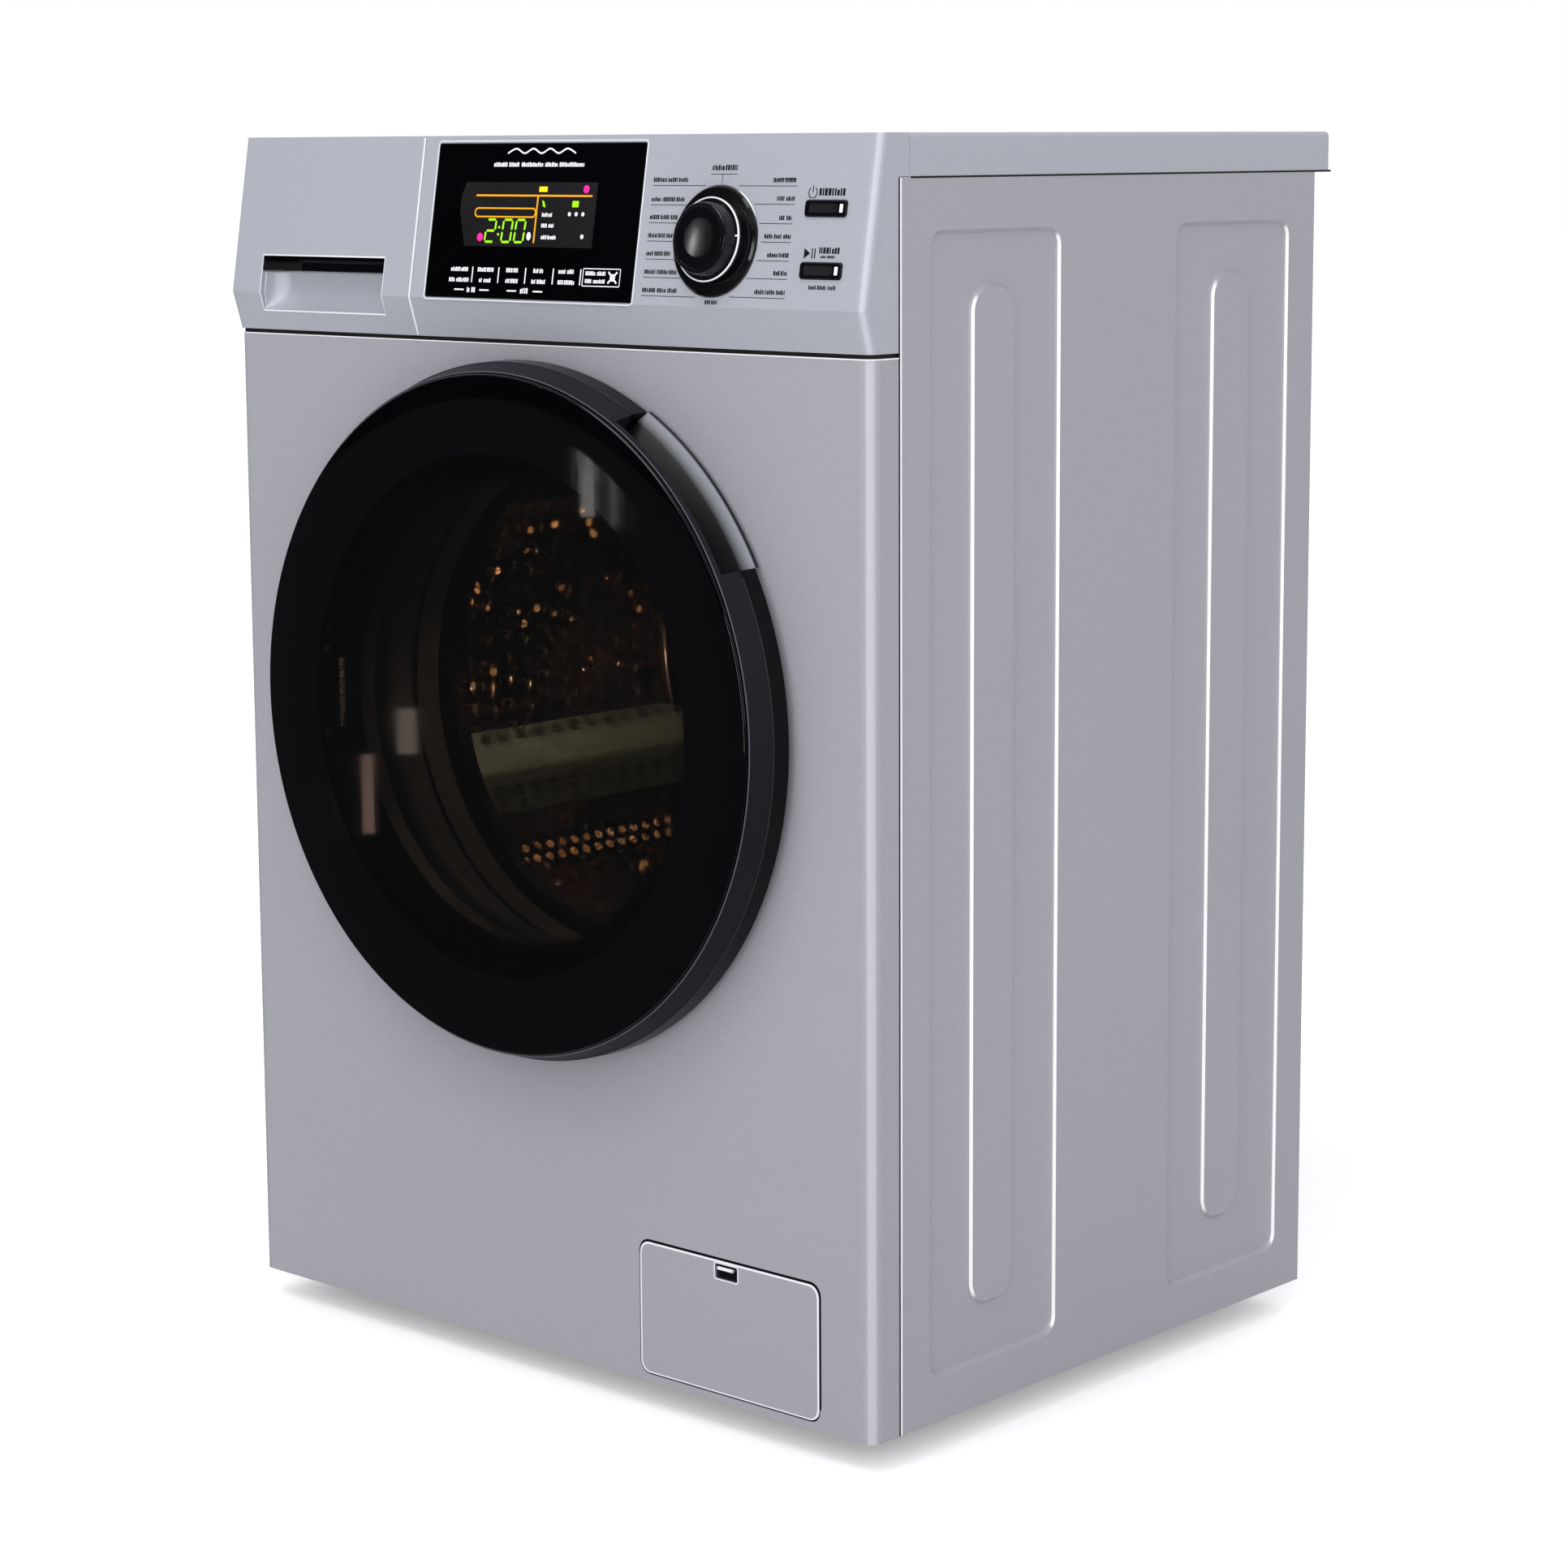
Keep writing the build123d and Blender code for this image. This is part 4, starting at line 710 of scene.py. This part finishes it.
def make_marks():
    """Lines and blocks round the knob, for its programmes, and signs beside the two keys."""
    # height of a line, its end nearest the knob, and the inner end of the word on it
    left = (
        (817.6, 157.5, 141.2), (805.3, 143.8, 140.6), (794.0, 136, 135.8), (782.4, 134.6, 132.6),
        (771, 138, 132.2), (759.4, 145.8, 139.8), (747.8, 157.6, 141.2),
    )
    right = (
        (817.6, 186, 214.2), (806.3, 200, 219), (794.4, 206.6, 222.6), (783, 209.4, 211.8),
        (771.5, 207.2, 215.8), (760.4, 200, 222.6), (748.6, 187.4, 208.2),
    )
    dark = []
    for z, x, end in left:
        dark.append(bar(110.6, z - 0.2, x, z + 0.2, 0.1))
        dark += word(111, z + 2.2, end, z + 5.0, (0.3 + 0.02 * (z % 7), 0.72))
    for z, x, start in right:
        dark.append(bar(x, z - 0.2, 234.4, z + 0.2, 0.1))
        dark += word(start, z + 2.2, 233.8, z + 5.0, (0.5,) if start > 214 else (0.35, 0.7))
    dark += word(218, 821.4, 232.6, 822.6, (0.3, 0.7), 0.5)
    dark += [bar(170.8, 818.6, 171.2, 824.6, 0.1), bar(160.6, 824.6, 183.6, 825.0, 0.1)]
    dark += word(161.4, 827.2, 183.2, 830.6, (0.5,))
    dark += word(166.8, 743.6, 177.2, 746.2, (0.5,), 0.6)
    # a generic power sign, a generic play and pause sign, and blocks for the words beside them
    dark += [stroke(oval(248.4, 813.6, 3.4, n=26, start=125, turn=290), 0.7), bar(248.1, 813.6, 248.8, 818.0)]
    dark += word(253.6, 811.9, 276.0, 816.4, (0.55,))
    dark += [[(246.4, 773.4), (251.4, 776.6), (246.4, 779.8)]]
    dark += [bar(x, 773.4, x + 0.9, 779.8) for x in (252.6, 254.8)]
    dark += word(258.6, 776.6, 275.4, 780.4, (0.6,)) + word(260, 773.8, 272, 775.4, (0.4,))
    dark += word(253, 754.6, 275, 757.2, (0.3, 0.7))
    marks("console_marks", dark, "ink_dark", "silver_plastic", low=-0.1, high=0.06)


def make_buttons():
    for label, x, z in (("power", 261, 804), ("start", 262, 766)):
        body = label + "_key"
        pad = rounded(x - 13, z - 2.8, x + 10, z + 2.8, 1.0)
        marks(label + "_button_pad", [pad], "screen_grey", "black_gloss", body, 1.4, 1.72)
        lamp = rounded(x + 12.0, z - 2.6, x + 14.6, z + 2.6, 0.5)
        marks(label + "_button_light", [lamp], "ink_white", "black_gloss", body, 1.4, 1.76)
        rim = framed(x - 18.2, z - 6.2, x + 18.2, z + 6.2, 2.8, 0.8, 2.2)
        marks(label + "_button_rim", [rim], "silver_plastic", "silver_plastic", "cabinet", -0.2, 0.35)


make_display()
make_touch_keys()
make_marks()
make_buttons()


# -------------------------------- programme knob
def make_knob():
    skirt = [(3.5, 0), (3.5, 26.4), (3.9, 26.9), (6.2, 26.9), (7.2, 26.4), (7.7, 25.2), (7.8, 24.4)]
    grip = [(8.6, 23.9), (12, 23.3), (14.6, 22.8)]
    shoulder = [(14.9 + 1.9 * math.sin(a), 20.7 + 2.0 * math.cos(a)) for a in (0.2, 0.5, 0.8, 1.1, 1.4)]
    top = [(16.9, 19.6), (16.7, 18.6), (16.5, 12), (16.45, 0)]
    profile = skirt + grip + shoulder + top
    turned_piece("knob_grip", profile, about_knob, 128, "black_gloss", "knob", "black_gloss",
                 replaces=("program_knob",))
    # near-white ring: painted highlight on the knob's trim
    trim = [(7.6, 26.0), (7.6, 26.9), (8.1, 27.0), (8.5, 26.6), (8.5, 26.0)]
    turned_piece("knob_trim", trim, about_knob, 128, "edge_light", "knob", "stainless_steel", closed=True)
    rim = [(-0.2, 35.0), (-0.2, 35.9), (0.5, 35.8), (0.9, 35.2), (0.9, 35.0)]
    turned_piece("knob_bezel_rim", rim, about_knob, 128, "chrome", "cabinet", "silver_plastic", closed=True)

    def on_skirt(r, aside, lift):
        return about_knob(lift, r, 6 + math.degrees(aside / r))

    pointer = [(26.2, -0.5), (26.2, 0.5), (22.9, 0.5), (22.9, -0.5)]
    marks("knob_pointer", [pointer], "ink_white", "black_gloss", "knob", 7.0, 8.6, on_skirt)


make_knob()


# -------------------------------- edges and seams
def make_console_edges():
    """Near-white beads on the edges of the drawer and of the display window, as painted highlights."""
    outline = ((0.0003, 0.7160), (-0.0077, 0.742), (0.0104, 0.8488))
    seam = [([Vector((-0.1090, FRONT + y, z)) for y, z in outline], Vector((0, -1, 0.15)))]
    bead_piece("drawer_edge_bead", seam, 0.0008, "edge_light", "drawer")
    loop = [([on_facet(x, z, 0.1) for x, z in rounded(-93.9, 741.2, 102.9, 846.4, 2.6, 4)], OUT_FACET)]
    bead_piece("display_bead", loop, 0.00045, "edge_light", "cabinet", closed=True)


def make_side_edges():
    """Near-white beads on the bent front edges of the side panels as painted highlights, each with a black
    bead in front of it as a painted shadow line.
    """
    def both_sides(x, ends):
        pairs = []
        for side in (-1, 1):
            pairs.append(([Vector((side * x, FRONT + y, z)) for y, z in ends], Vector((side, 0, 0))))
        return pairs

    bend = both_sides(0.2984, ((0.0284, 0.0203), (0.0284, 0.8226)))
    bead_piece("side_edge_beads", bend, 0.0009, "edge_light", "cabinet")
    seam = both_sides(0.2984, ((0.0270, 0.0203), (0.0270, 0.8226)))
    bead_piece("side_seam_shadows", seam, 0.0006, "black_rubber", "cabinet")
    # painted shadow line under the worktop's edge
    under = both_sides(0.2983, ((0.038, 0.8228), (0.496, 0.8228)))
    bead_piece("worktop_shadow_lines", under, 0.0007, "black_rubber", "cabinet")


def make_front_edges():
    """Near-white bead on the top edge of the front panel as a painted highlight, and a black strip between it
    and the console as painted shadow in the seam.
    """
    bend = 0.009
    turns = [math.pi / 2 * k / 6 for k in range(7)]
    corner = [(0.2895 + bend * math.sin(a), bend - bend * math.cos(a)) for a in turns]
    half = [(0, 0)] + corner + [(0.2985, 0.0262)]
    line = [(-x, y) for x, y in half[:0:-1]] + half
    path = [Vector((x, FRONT + y + 0.0001, 0.7123)) for x, y in line]
    bead_piece("panel_top_bead", [(path, Vector((0, 0, 1)))], 0.0005, "edge_light", "cabinet")

    def in_plan(x, y, z):
        return Vector((x, FRONT + y, z))

    thick, low, high = 0.0012, 0.7122, 0.7158
    route = [(-0.2975, 0.027), (-0.2975, 0.0055), (-0.294, 0.0020)]
    route += [(0.290, 0.0020), (0.2965, 0.0060), (0.2968, 0.027)]
    strips = []
    for start, end in zip(route, route[1:]):
        a, b = Vector(start), Vector(end)
        d = (b - a).normalized()
        inward = Vector((-d.y, d.x)) * thick
        strips.append([tuple(p) for p in (a, b, b + inward, a + inward)])
    marks("seam_shadow_strip", strips, "black_rubber", "black_rubber", "cabinet", low, high, in_plan)


make_console_edges()
make_side_edges()
make_front_edges()


# -------------------------------- drawer grip
GRIP_LEFT, GRIP_RIGHT, GRIP_LOW, GRIP_HIGH = -265.0, -137.0, 729.0, 768.0
CREASE_Z = 742


def fascia_y(z):
    """How far behind the front face the drawer's outer surface is at height z, in millimetres."""
    if z < CREASE_Z:
        return -8 * (z - 715.5) / 26.5
    return -8 + 18.3 * (z - CREASE_Z) / 108


def make_scoop():
    """Scooped lower half of the grip, with rounded ends."""
    bm = bmesh.new()
    ease, inset, arc_y, arc_z, arc_r, steps = 15.0, 0.2, -6.556, 749.47, 20.15, 16
    ends = [ease * (1 - math.cos(math.pi / 2 * i / 9)) for i in range(10)]
    rows = []
    for x in [GRIP_LEFT + inset + e for e in ends] + [GRIP_RIGHT - inset - e for e in ends[::-1]]:
        u = min(1.0, (x - GRIP_LEFT) / ease, (GRIP_RIGHT - x) / ease)
        share = math.sqrt(max(0.0, 1 - (1 - u) ** 2))
        row = []
        for k in range(steps + 1):
            a = math.radians(-80 + 98.6 * k / steps)
            y, z = arc_y + arc_r * math.cos(a), arc_z + arc_r * math.sin(a)
            front = fascia_y(z) + 0.4
            row.append(bm.verts.new(on_wall(x, z, -(front + (y - front) * share))))
        rows.append(row)
    for a, b in zip(rows, rows[1:]):
        join_rows(bm, a, b, closed=False)
    thicken(finish_mesh("grip_scoop", bm, "silver_plastic", "drawer", smooth=60), 0.0003)


def make_grip_shade():
    """Black liner in the mouth of the grip above the scoop and on its two cheeks, painted shade where the
    mouth lies in shadow, and a near-white bead round both as a painted highlight.
    """
    def across(y, z, x):
        return on_wall(x, z, -y)

    bm = bmesh.new()
    mouth = [(12.9, 756.4), (16.5, 778.5), (3.4, 778.5), (1.1, 768.2),
             (1.7, 768.2), (3.9, 777.9), (15.9, 777.9), (12.3, 756.9)]
    prism(bm, mouth, GRIP_LEFT + 0.3, GRIP_RIGHT - 0.3, across)
    cheek = [(-4.6, 757.0), (12.6, 757.0), (16.0, 778.0), (3.6, 778.0), (1.4, 768.0), (-3.0, 767.7)]
    prism(bm, cheek, GRIP_LEFT + 0.1, GRIP_LEFT + 0.6, across)
    prism(bm, cheek, GRIP_RIGHT - 0.6, GRIP_RIGHT - 0.1, across)
    finish_mesh("grip_shade_liner", bm, "black_gloss", "drawer", smooth=0)
    corners = [(GRIP_LEFT, GRIP_LOW), (GRIP_RIGHT, GRIP_LOW), (GRIP_RIGHT, CREASE_Z)]
    corners += [(GRIP_RIGHT, GRIP_HIGH), (GRIP_LEFT, GRIP_HIGH), (GRIP_LEFT, CREASE_Z)]
    loop = [([on_wall(x, z, -fascia_y(z) - 0.1) for x, z in corners], FORWARD)]
    bead_piece("grip_bead", loop, 0.0004, "edge_light", "drawer", closed=True)


# -------------------------------- service flap
def make_notch():
    """Black floor in the finger notch of the service flap as painted shade, and a rounded catch and a rim in
    near-white as painted highlights.
    """
    x0, z0, x1, z1 = 161.2, 104.2, 181.8, 114.8
    pocket = rounded(x0, z0, x1, z1, 1.2)
    marks("notch_shade", [pocket], "black_gloss", "black_gloss", "flap", -2.5, -2.2, on_wall)
    path = [([on_wall(x, 111.4, -1.0) for x in (163.6, 167, 172, 176.8)], FORWARD)]
    bead_piece("notch_catch", path, 0.0012, "edge_light", "flap", n=12)
    rim = framed(x0 - 0.6, z0 - 0.6, x1 + 0.6, z1 + 0.6, 1.8, 0.7, 1.2)
    marks("notch_rim", [rim], "edge_light", "silver_paint", "flap", -0.3, 0.15, on_wall)


def make_flap_edges():
    """Folded edge of the service flap in near-white as a painted highlight, and a black strip in the gap
    above and beside it as painted shadow.
    """
    x0, z0, x1, z1 = 93.0, 26.0, 253.0, 117.0
    edge = rounded(x0, z0, x1, z1, 8), rounded(x0 + 1.0, z0 + 0.8, x1 - 1.5, z1 - 1.4, 7.2)
    marks("flap_edge", [edge], "edge_light", "silver_paint", "flap", -0.3, 0.12, on_wall)
    outer = rounded(x0 - 0.7, z0 - 0.4, x1 + 1.9, z1 + 1.9, 9)
    inner = rounded(x0 - 0.2, z0 - 0.1, x1 + 0.2, z1 + 0.2, 8.2)
    # the black strip stops above the pivot, because the flap's lower edge swings through the gap below it
    outer, inner = outer[-1:] + outer[:12], inner[-1:] + inner[:12]
    bm = bmesh.new()
    loop_band(bm, outer, inner, -0.6, 0.05, on_wall, closed=False)
    finish_mesh("flap_gap_shadow", bm, "black_gloss", "cabinet", smooth=0)


make_scoop()
make_grip_shade()
make_notch()
make_flap_edges()


# -------------------------------- door glass and trim
def make_glass():
    """Outer door glass: smoked in the middle, with an opaque black border."""
    face, back, border_r = -40, -36.25, 0.172
    turns = [math.pi / 2 * k / 5 for k in range(6)]
    rim = [(face + 2.2 - 2.2 * math.cos(a), 226.1 + 2.2 * math.sin(a)) for a in turns]
    profile = [(face, r) for r in (0, 100, 176, 200)] + rim + [(back, r) for r in (228.3, 200, 176, 100, 0)]
    both = ("dark_glass", "black_glass")
    piece = turned_piece("door_glass", profile, about_drum, 192, both, "door", "dark_glass",
                         replaces=("door_glass_panel",))
    for polygon in piece.data.polygons:
        if math.hypot(polygon.center.x, polygon.center.z - DRUM_Z) > border_r:
            polygon.material_index = 1


def make_door_trim():
    """Thin grey line round the ring, left open at the handle, as a painted highlight, and a grey ring as the
    painted shine on the glass's edge.
    """
    def wire(y, r, thick):
        turns = [2 * math.pi * k / 8 for k in range(8)]
        return [(y + thick * math.sin(a), r + thick * math.cos(a)) for a in turns]

    line, shine = wire(-20.2, 235.0, 0.35), wire(-36.6, 229.3, 0.5)
    turned_piece("door_mid_line", line, about_drum, 160, "ring_grey", "door", "black_gloss",
                 closed=True, start=63.0, turn=324.0)
    turned_piece("door_edge_line", shine, about_drum, 192, "edge_shine", "door", "black_gloss", closed=True)


make_glass()
make_door_trim()


# -------------------------------- drum with its perforations
LIFTER_CLOCKS = (8, 128, 248)


def perforated(bm, place, across, along, hole_u, hole_v, shift=0.22, flare=0.9):
    """Grid of cells with a round hole in each; place(u, v, sunk) takes cells and the flare's depth."""
    shared = {}

    def vert(u, v):
        key = (round(u * 2) % (2 * across), round(v * 2))
        if key not in shared:
            shared[key] = bm.verts.new(place(u, v))
        return shared[key]

    cell_edge = [(0, 0), (0.5, 0), (1, 0), (1, 0.5), (1, 1), (0.5, 1), (0, 1), (0, 0.5)]
    for i in range(across):
        for j in range(along):
            cu, cv = i + 0.5 + (shift if j % 2 else -shift), j + 0.5
            outer = [vert(i + a, j + b) for a, b in cell_edge]
            inner = []
            for k in range(8):
                a = math.radians(225 + 45 * k)
                inner.append(bm.verts.new(place(cu + hole_u * math.cos(a), cv + hole_v * math.sin(a), flare)))
            join_rows(bm, outer, inner)


def make_drum():
    bm = bmesh.new()
    across, along, hole_r = 84, 14, 2.3
    y0, y1, r = 90.0, 362.0, 235.2
    step_v = (y1 - y0) / along
    step_u = 2 * math.pi * r / across

    def side(u, v, sunk=0.0):
        return about_drum(y0 + v * step_v, r + sunk, 360 * u / across)

    perforated(bm, side, across, along, hole_r / step_u, hole_r / step_v)
    front = [(90, 235.2), (86, 234.6), (82.5, 232), (80.9, 228), (80.6, 222), (82.5, 205), (81, 188),
             (80.8, 172), (81.6, 168), (84, 166), (89.5, 165.6)]
    lathe(bm, front, about_drum, across * 2)
    lathe(bm, [(362, 235.2), (366.5, 234.6), (369.6, 232), (371, 228)], about_drum, across * 2)
    rings, r_out, r_in = 7, 228.0, 88.0
    wide = (r_out - r_in) / rings

    def plate(u, v, sunk=0.0):
        dip = 2.2 * math.sin(math.pi * v / rings) ** 2
        return about_drum(371 - dip + sunk, r_out - v * wide, 360 * u / across)

    perforated(bm, plate, across, rings, 0.13, 2.0 / wide)
    hub = [(371, 88), (368, 84), (366.5, 76), (366.5, 40), (364, 34), (363, 20), (363, 0)]
    lathe(bm, hub, about_drum, across * 2)
    bmesh.ops.remove_doubles(bm, verts=bm.verts, dist=0.00001)
    piece = finish_mesh("drum_basket", bm, "drum_steel", "drum", replaces=("drum_shell",))
    thicken(piece, 0.0008)


def make_lifter_hole_shade():
    """Three rows of black discs on both flanks of each lifter, painted shade in place of the dark spray
    holes.
    """
    bm = bmesh.new()
    hole_r, pitch, corners = 3.9, 18.5, 8

    def ring(y, clock, centre, slope):
        spots = []
        for q in range(corners):
            a = 2 * math.pi * q / corners
            p = centre + slope * (hole_r * math.sin(a))
            turn = clock + math.degrees(math.atan2(p.x, p.y))
            spots.append(bm.verts.new(about_drum(y + hole_r * math.cos(a), p.length, turn)))
        return spots

    for clock in LIFTER_CLOCKS:
        for side in (-1, 1):
            out = Vector((side * 42, -20)).normalized()
            slope = Vector((-out.y, out.x))
            for row, t in enumerate((0.30, 0.55, 0.80)):
                near = Vector((side * (13.5 + 16 * t), 188 + 38 * t))
                for k in range(13):
                    y = 116 + pitch * k + (9 if row == 1 else 0)
                    low, high = (ring(y, clock, near + out * lift, slope) for lift in (-0.4, 0.35))
                    bm.faces.new(high)
                    bm.faces.new(low[::-1])
                    join_rows(bm, low, high)
    # black discs: painted shade of the holes
    finish_mesh("lifter_hole_shade", bm, "black_plastic", "drum", smooth=0)


def make_hole_rims():
    """Drawn lips on some of the drum's holes, and two full rows beside each lifter, in a pale warm colour
    painted as glints of the lamps.
    """
    bm = bmesh.new()
    wall_r = 233.9

    def rim(y, clock, r=2.3, tube=1.3):
        rows = []
        for a in (math.pi * i / 4 for i in range(8)):
            ring = []
            for b in (math.pi * k / 2 for k in range(4)):
                reach = r + tube * math.cos(b)
                turn = clock + math.degrees(reach * math.cos(a) / 234)
                place = about_drum(y + reach * math.sin(a), wall_r + tube * math.sin(b), turn)
                ring.append(bm.verts.new(place))
            rows.append(ring)
        for a, b in zip(rows, rows[1:] + rows[:1]):
            join_rows(bm, a, b)

    for turn in LIFTER_CLOCKS:
        for k in range(20):
            rim(104 + 12.8 * k + 6.4, turn - 17.6)
            rim(104 + 12.8 * k, turn - 15.2)
        for low, high, count in ((-46, -21, 26), (18, 60, 40)):
            for _ in range(count):
                tube = random.uniform(0.6, 1.4)
                y, clock = random.uniform(100, 352), turn + random.uniform(low, high)
                rim(y, clock, tube + random.uniform(0.3, 1.2), tube)
    finish_mesh("hole_rims", bm, "warm_steel", "drum")


make_drum()
make_lifter_hole_shade()
make_hole_rims()


# -------------------------------- pieces between cabinet and tub
def make_gasket():
    lip = [(-2.4, 190), (-0.2, 190), (-0.2, 183.7), (1.4, 183.7), (1.4, 190)]
    outer = [(4.5, 190), (6.5, 181), (14, 166), (22, 166), (34, 180), (48, 180), (60, 180)]
    inner = [(60, 175.3), (47, 175.3), (38, 173), (25, 161), (12, 161), (1, 178.5), (-2.4, 181)]
    profile = lip + smooth_line(outer, 5) + smooth_line(inner, 5)
    piece = turned_piece("gasket_bellows", profile, about_drum, 144, "grey_rubber", None, "grey_rubber",
                         replaces=("door_gasket",), closed=True)
    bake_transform(piece)


def make_springs():
    bm = bmesh.new()
    low, high, turns, wire, r, per_turn = 0.6246, 0.8054, 19, 0.0016, 0.0098, 14
    length = high - low - 2 * wire
    for side in (-1, 1):
        centre = Vector((side * 0.270, FRONT + 0.232, 0))
        path = []
        for i in range(turns * per_turn + 1):
            t = i / (turns * per_turn)
            a = 2 * math.pi * turns * t
            squeeze = t + 0.02 * math.sin(2 * math.pi * t)
            path.append(centre + Vector((r * math.cos(a), r * math.sin(a), low + wire + length * squeeze)))
        bead(bm, path, wire, Vector((0, 0, 1)), n=7)
    piece = finish_mesh("coil_springs", bm, "stainless_steel", None,
                        replaces=("suspension_springs",))
    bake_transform(piece)


def make_hose():
    low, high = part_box("sump_hose")
    pump_y = (low[1] + high[1]) / 2
    z0, z1, folds = 118.0, 265.0, 16
    ribs = []
    for i in range(folds):
        for t, r in ((0.0, 20.6), (0.25, 23.2), (0.5, 23.9), (0.75, 23.2)):
            ribs.append((z0 + (z1 - z0) * (i + t) / folds, r))
    profile = [(z0, 19.6)] + ribs + [(z1, 20.6), (z1, 19.4), (z1 - 2, 19.3), (z0 + 2, 19.3)]

    def place(z, r, degrees):
        a = math.radians(degrees)
        return Vector((0.173 + r * math.cos(a) / 1000, pump_y + r * math.sin(a) / 1000, z / 1000))

    piece = turned_piece("sump_bellows", profile, place, 40, "black_rubber", None, "black_rubber",
                         replaces=("sump_hose",), closed=True)
    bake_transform(piece)


def make_threads():
    """Raised threads on the two water inlets."""
    turns, per_turn, pitch, r, z = 6, 28, 0.00182, 0.0132, 0.776
    paths = []
    for x in (-0.238, -0.186):
        path = []
        for i in range(turns * per_turn + 1):
            a = 2 * math.pi * i / per_turn
            back = 0.5175 - pitch * i / per_turn
            path.append(Vector((x + r * math.cos(a), FRONT + back, z + r * math.sin(a))))
        paths.append((path, Vector((0, 1, 0))))
    bead_piece("inlet_threads", paths, 0.00055, "white_plastic", "cabinet", n=6)


make_gasket()
make_springs()
make_hose()
make_threads()


# -------------------------------- floor and world
def make_floor():
    """Pale floor, a little brighter to the camera and dark in reflections."""
    bm = bmesh.new()
    bmesh.ops.create_grid(bm, x_segments=1, y_segments=1, size=30)
    mesh = bpy.data.meshes.new("floor")
    bm.to_mesh(mesh)
    bm.free()
    mat = Mat("floor_white")
    path = mat.node("LightPath").outputs
    speckle = mat.mix(mat.span(mat.noise(3, 2), 0.3, 0.7), grey(0.93), grey(0.95))
    glow = mat.math("MULTIPLY", path["Is Camera Ray"], 0.28)
    pale = mat.node("AddShader")
    mat.put(pale.inputs[0], mat.node("BsdfDiffuse", Color=speckle).outputs[0])
    mat.put(pale.inputs[1], mat.node("Emission", Strength=glow).outputs[0])
    mat.either(path["Is Glossy Ray"], pale, mat.node("Emission", Strength=0.06))
    mesh.materials.append(mat.owner)
    floor = add_object("floor", mesh)
    floor.location.z = -0.0005


def make_world():
    """White behind the object, with a soft even light and a room that only reflections see."""
    sky = Mat("world", world=True)
    bpy.context.scene.world = sky.owner
    path = sky.node("LightPath").outputs
    glossy = path["Is Glossy Ray"]
    # the room is dark for reflections towards the front and bright above and behind
    _, back, up = sky.parts(sky.coord.outputs["Generated"])
    behind = sky.math("MULTIPLY_ADD", back, 2.2, 0.9, clamp=True)
    above = sky.math("MULTIPLY_ADD", up, 4.0, -1.8, clamp=True)
    room = sky.math("ADD", sky.math("MULTIPLY", sky.math("MAXIMUM", behind, above), 0.38), 0.015)
    even = sky.math("MULTIPLY", sky.math("SUBTRACT", 1.0, glossy), 0.25)
    strength = sky.math("ADD", even, sky.math("MULTIPLY", glossy, room))
    lit = sky.node("Background", Color=(0.93, 0.94, 1.0, 1), Strength=strength)
    sky.either(path["Is Camera Ray"], lit, sky.node("Background", Color=(1, 1, 1, 1)))


# -------------------------------- lights
def add_lamp(name, data, place, target=None):
    lamp = add_object(name, data)
    lamp.location = place
    if target is not None:
        lamp.rotation_mode = "QUATERNION"
        lamp.rotation_quaternion = (Vector(target) - Vector(place)).to_track_quat("-Z", "Y")
    return lamp


def area_light(name, place, target, wide, high, power, tint=(1, 1, 1)):
    data = bpy.data.lights.new(name, "AREA")
    data.energy = power
    data.color = tint
    data.shape = "RECTANGLE"
    data.size = wide
    data.size_y = high
    add_lamp(name, data, place, target)


def sun_light(name, place, power):
    """Even light from one direction, softened by a wide spread; it makes no reflections."""
    data = bpy.data.lights.new(name, "SUN")
    data.energy = power
    data.angle = math.radians(70)
    add_lamp(name, data, place, (0, 0, 0)).visible_glossy = False


def warm_lamp(name, place, power):
    """Small warm lamp inside the drum."""
    data = bpy.data.lights.new(name, "POINT")
    data.energy = power
    data.color = (1.0, 0.68, 0.42)
    data.shadow_soft_size = 0.007
    add_lamp(name, data, place)


def mirrored_box(name, spot, normal, size, glow, tint, away=1.6):
    """Small light whose mirror image in a flat face shows at a given spot from the main camera."""
    view = (spot - CAMERA).normalized()
    place = spot + (view - 2 * view.dot(normal) * normal) * away
    area_light(name, place, spot, *size, glow * math.pi * size[0] * size[1], tint)


def in_glass(name, x, z, size, glow, tint):
    """Light whose mirror image shows in the door glass."""
    mirrored_box(name, Vector((x, FRONT - 0.040, z)), FORWARD, size, glow, tint)


def make_lights():
    sun_light("front_sun", (0.3, -1.0, 0.75), 1.53)
    sun_light("side_sun", (1.0, 0.1, 0.75), 0.82)
    sun_light("back_sun", (-0.7, 0.9, 0.9), 1.2)
    area_light("corner_strip", (2.1, -2.3, 0.7), (0.2, -0.1, 0.45), 0.5, 2.0, 12)
    area_light("top_box", (0.1, -1.4, 2.9), (0, -0.1, 0.6), 1.6, 1.6, 20)
    area_light("side_box", (3.0, 0.9, 1.3), (0.2, 0, 0.45), 1.2, 2.0, 3)
    warm_lamp("drum_lamp_high", about_drum(118, 190, 330), 6.0)
    warm_lamp("drum_lamp_low", about_drum(100, 190, 95), 4.8)
    # mirror images in the door glass and on the knob
    in_glass("glass_bar", 0.0925, 0.6286, (0.0145, 0.072), 3.0, (1.0, 0.95, 0.9))
    in_glass("glass_frame", 0.1160, 0.6200, (0.0045, 0.062), 2.4, (0.95, 0.95, 1.0))
    in_glass("glass_left_low", -0.1260, 0.4010, (0.013, 0.088), 2.2, (1.0, 0.66, 0.5))
    in_glass("glass_left_high", -0.0850, 0.4490, (0.021, 0.050), 1.9, (1.0, 0.85, 0.7))
    mirrored_box("knob_window", about_knob(16.5, 11, 15), OUT_FACET, (0.012, 0.026), 16, (1, 1, 1))


make_floor()
make_world()
make_lights()
bpy.context.scene.view_settings.view_transform = "Standard"
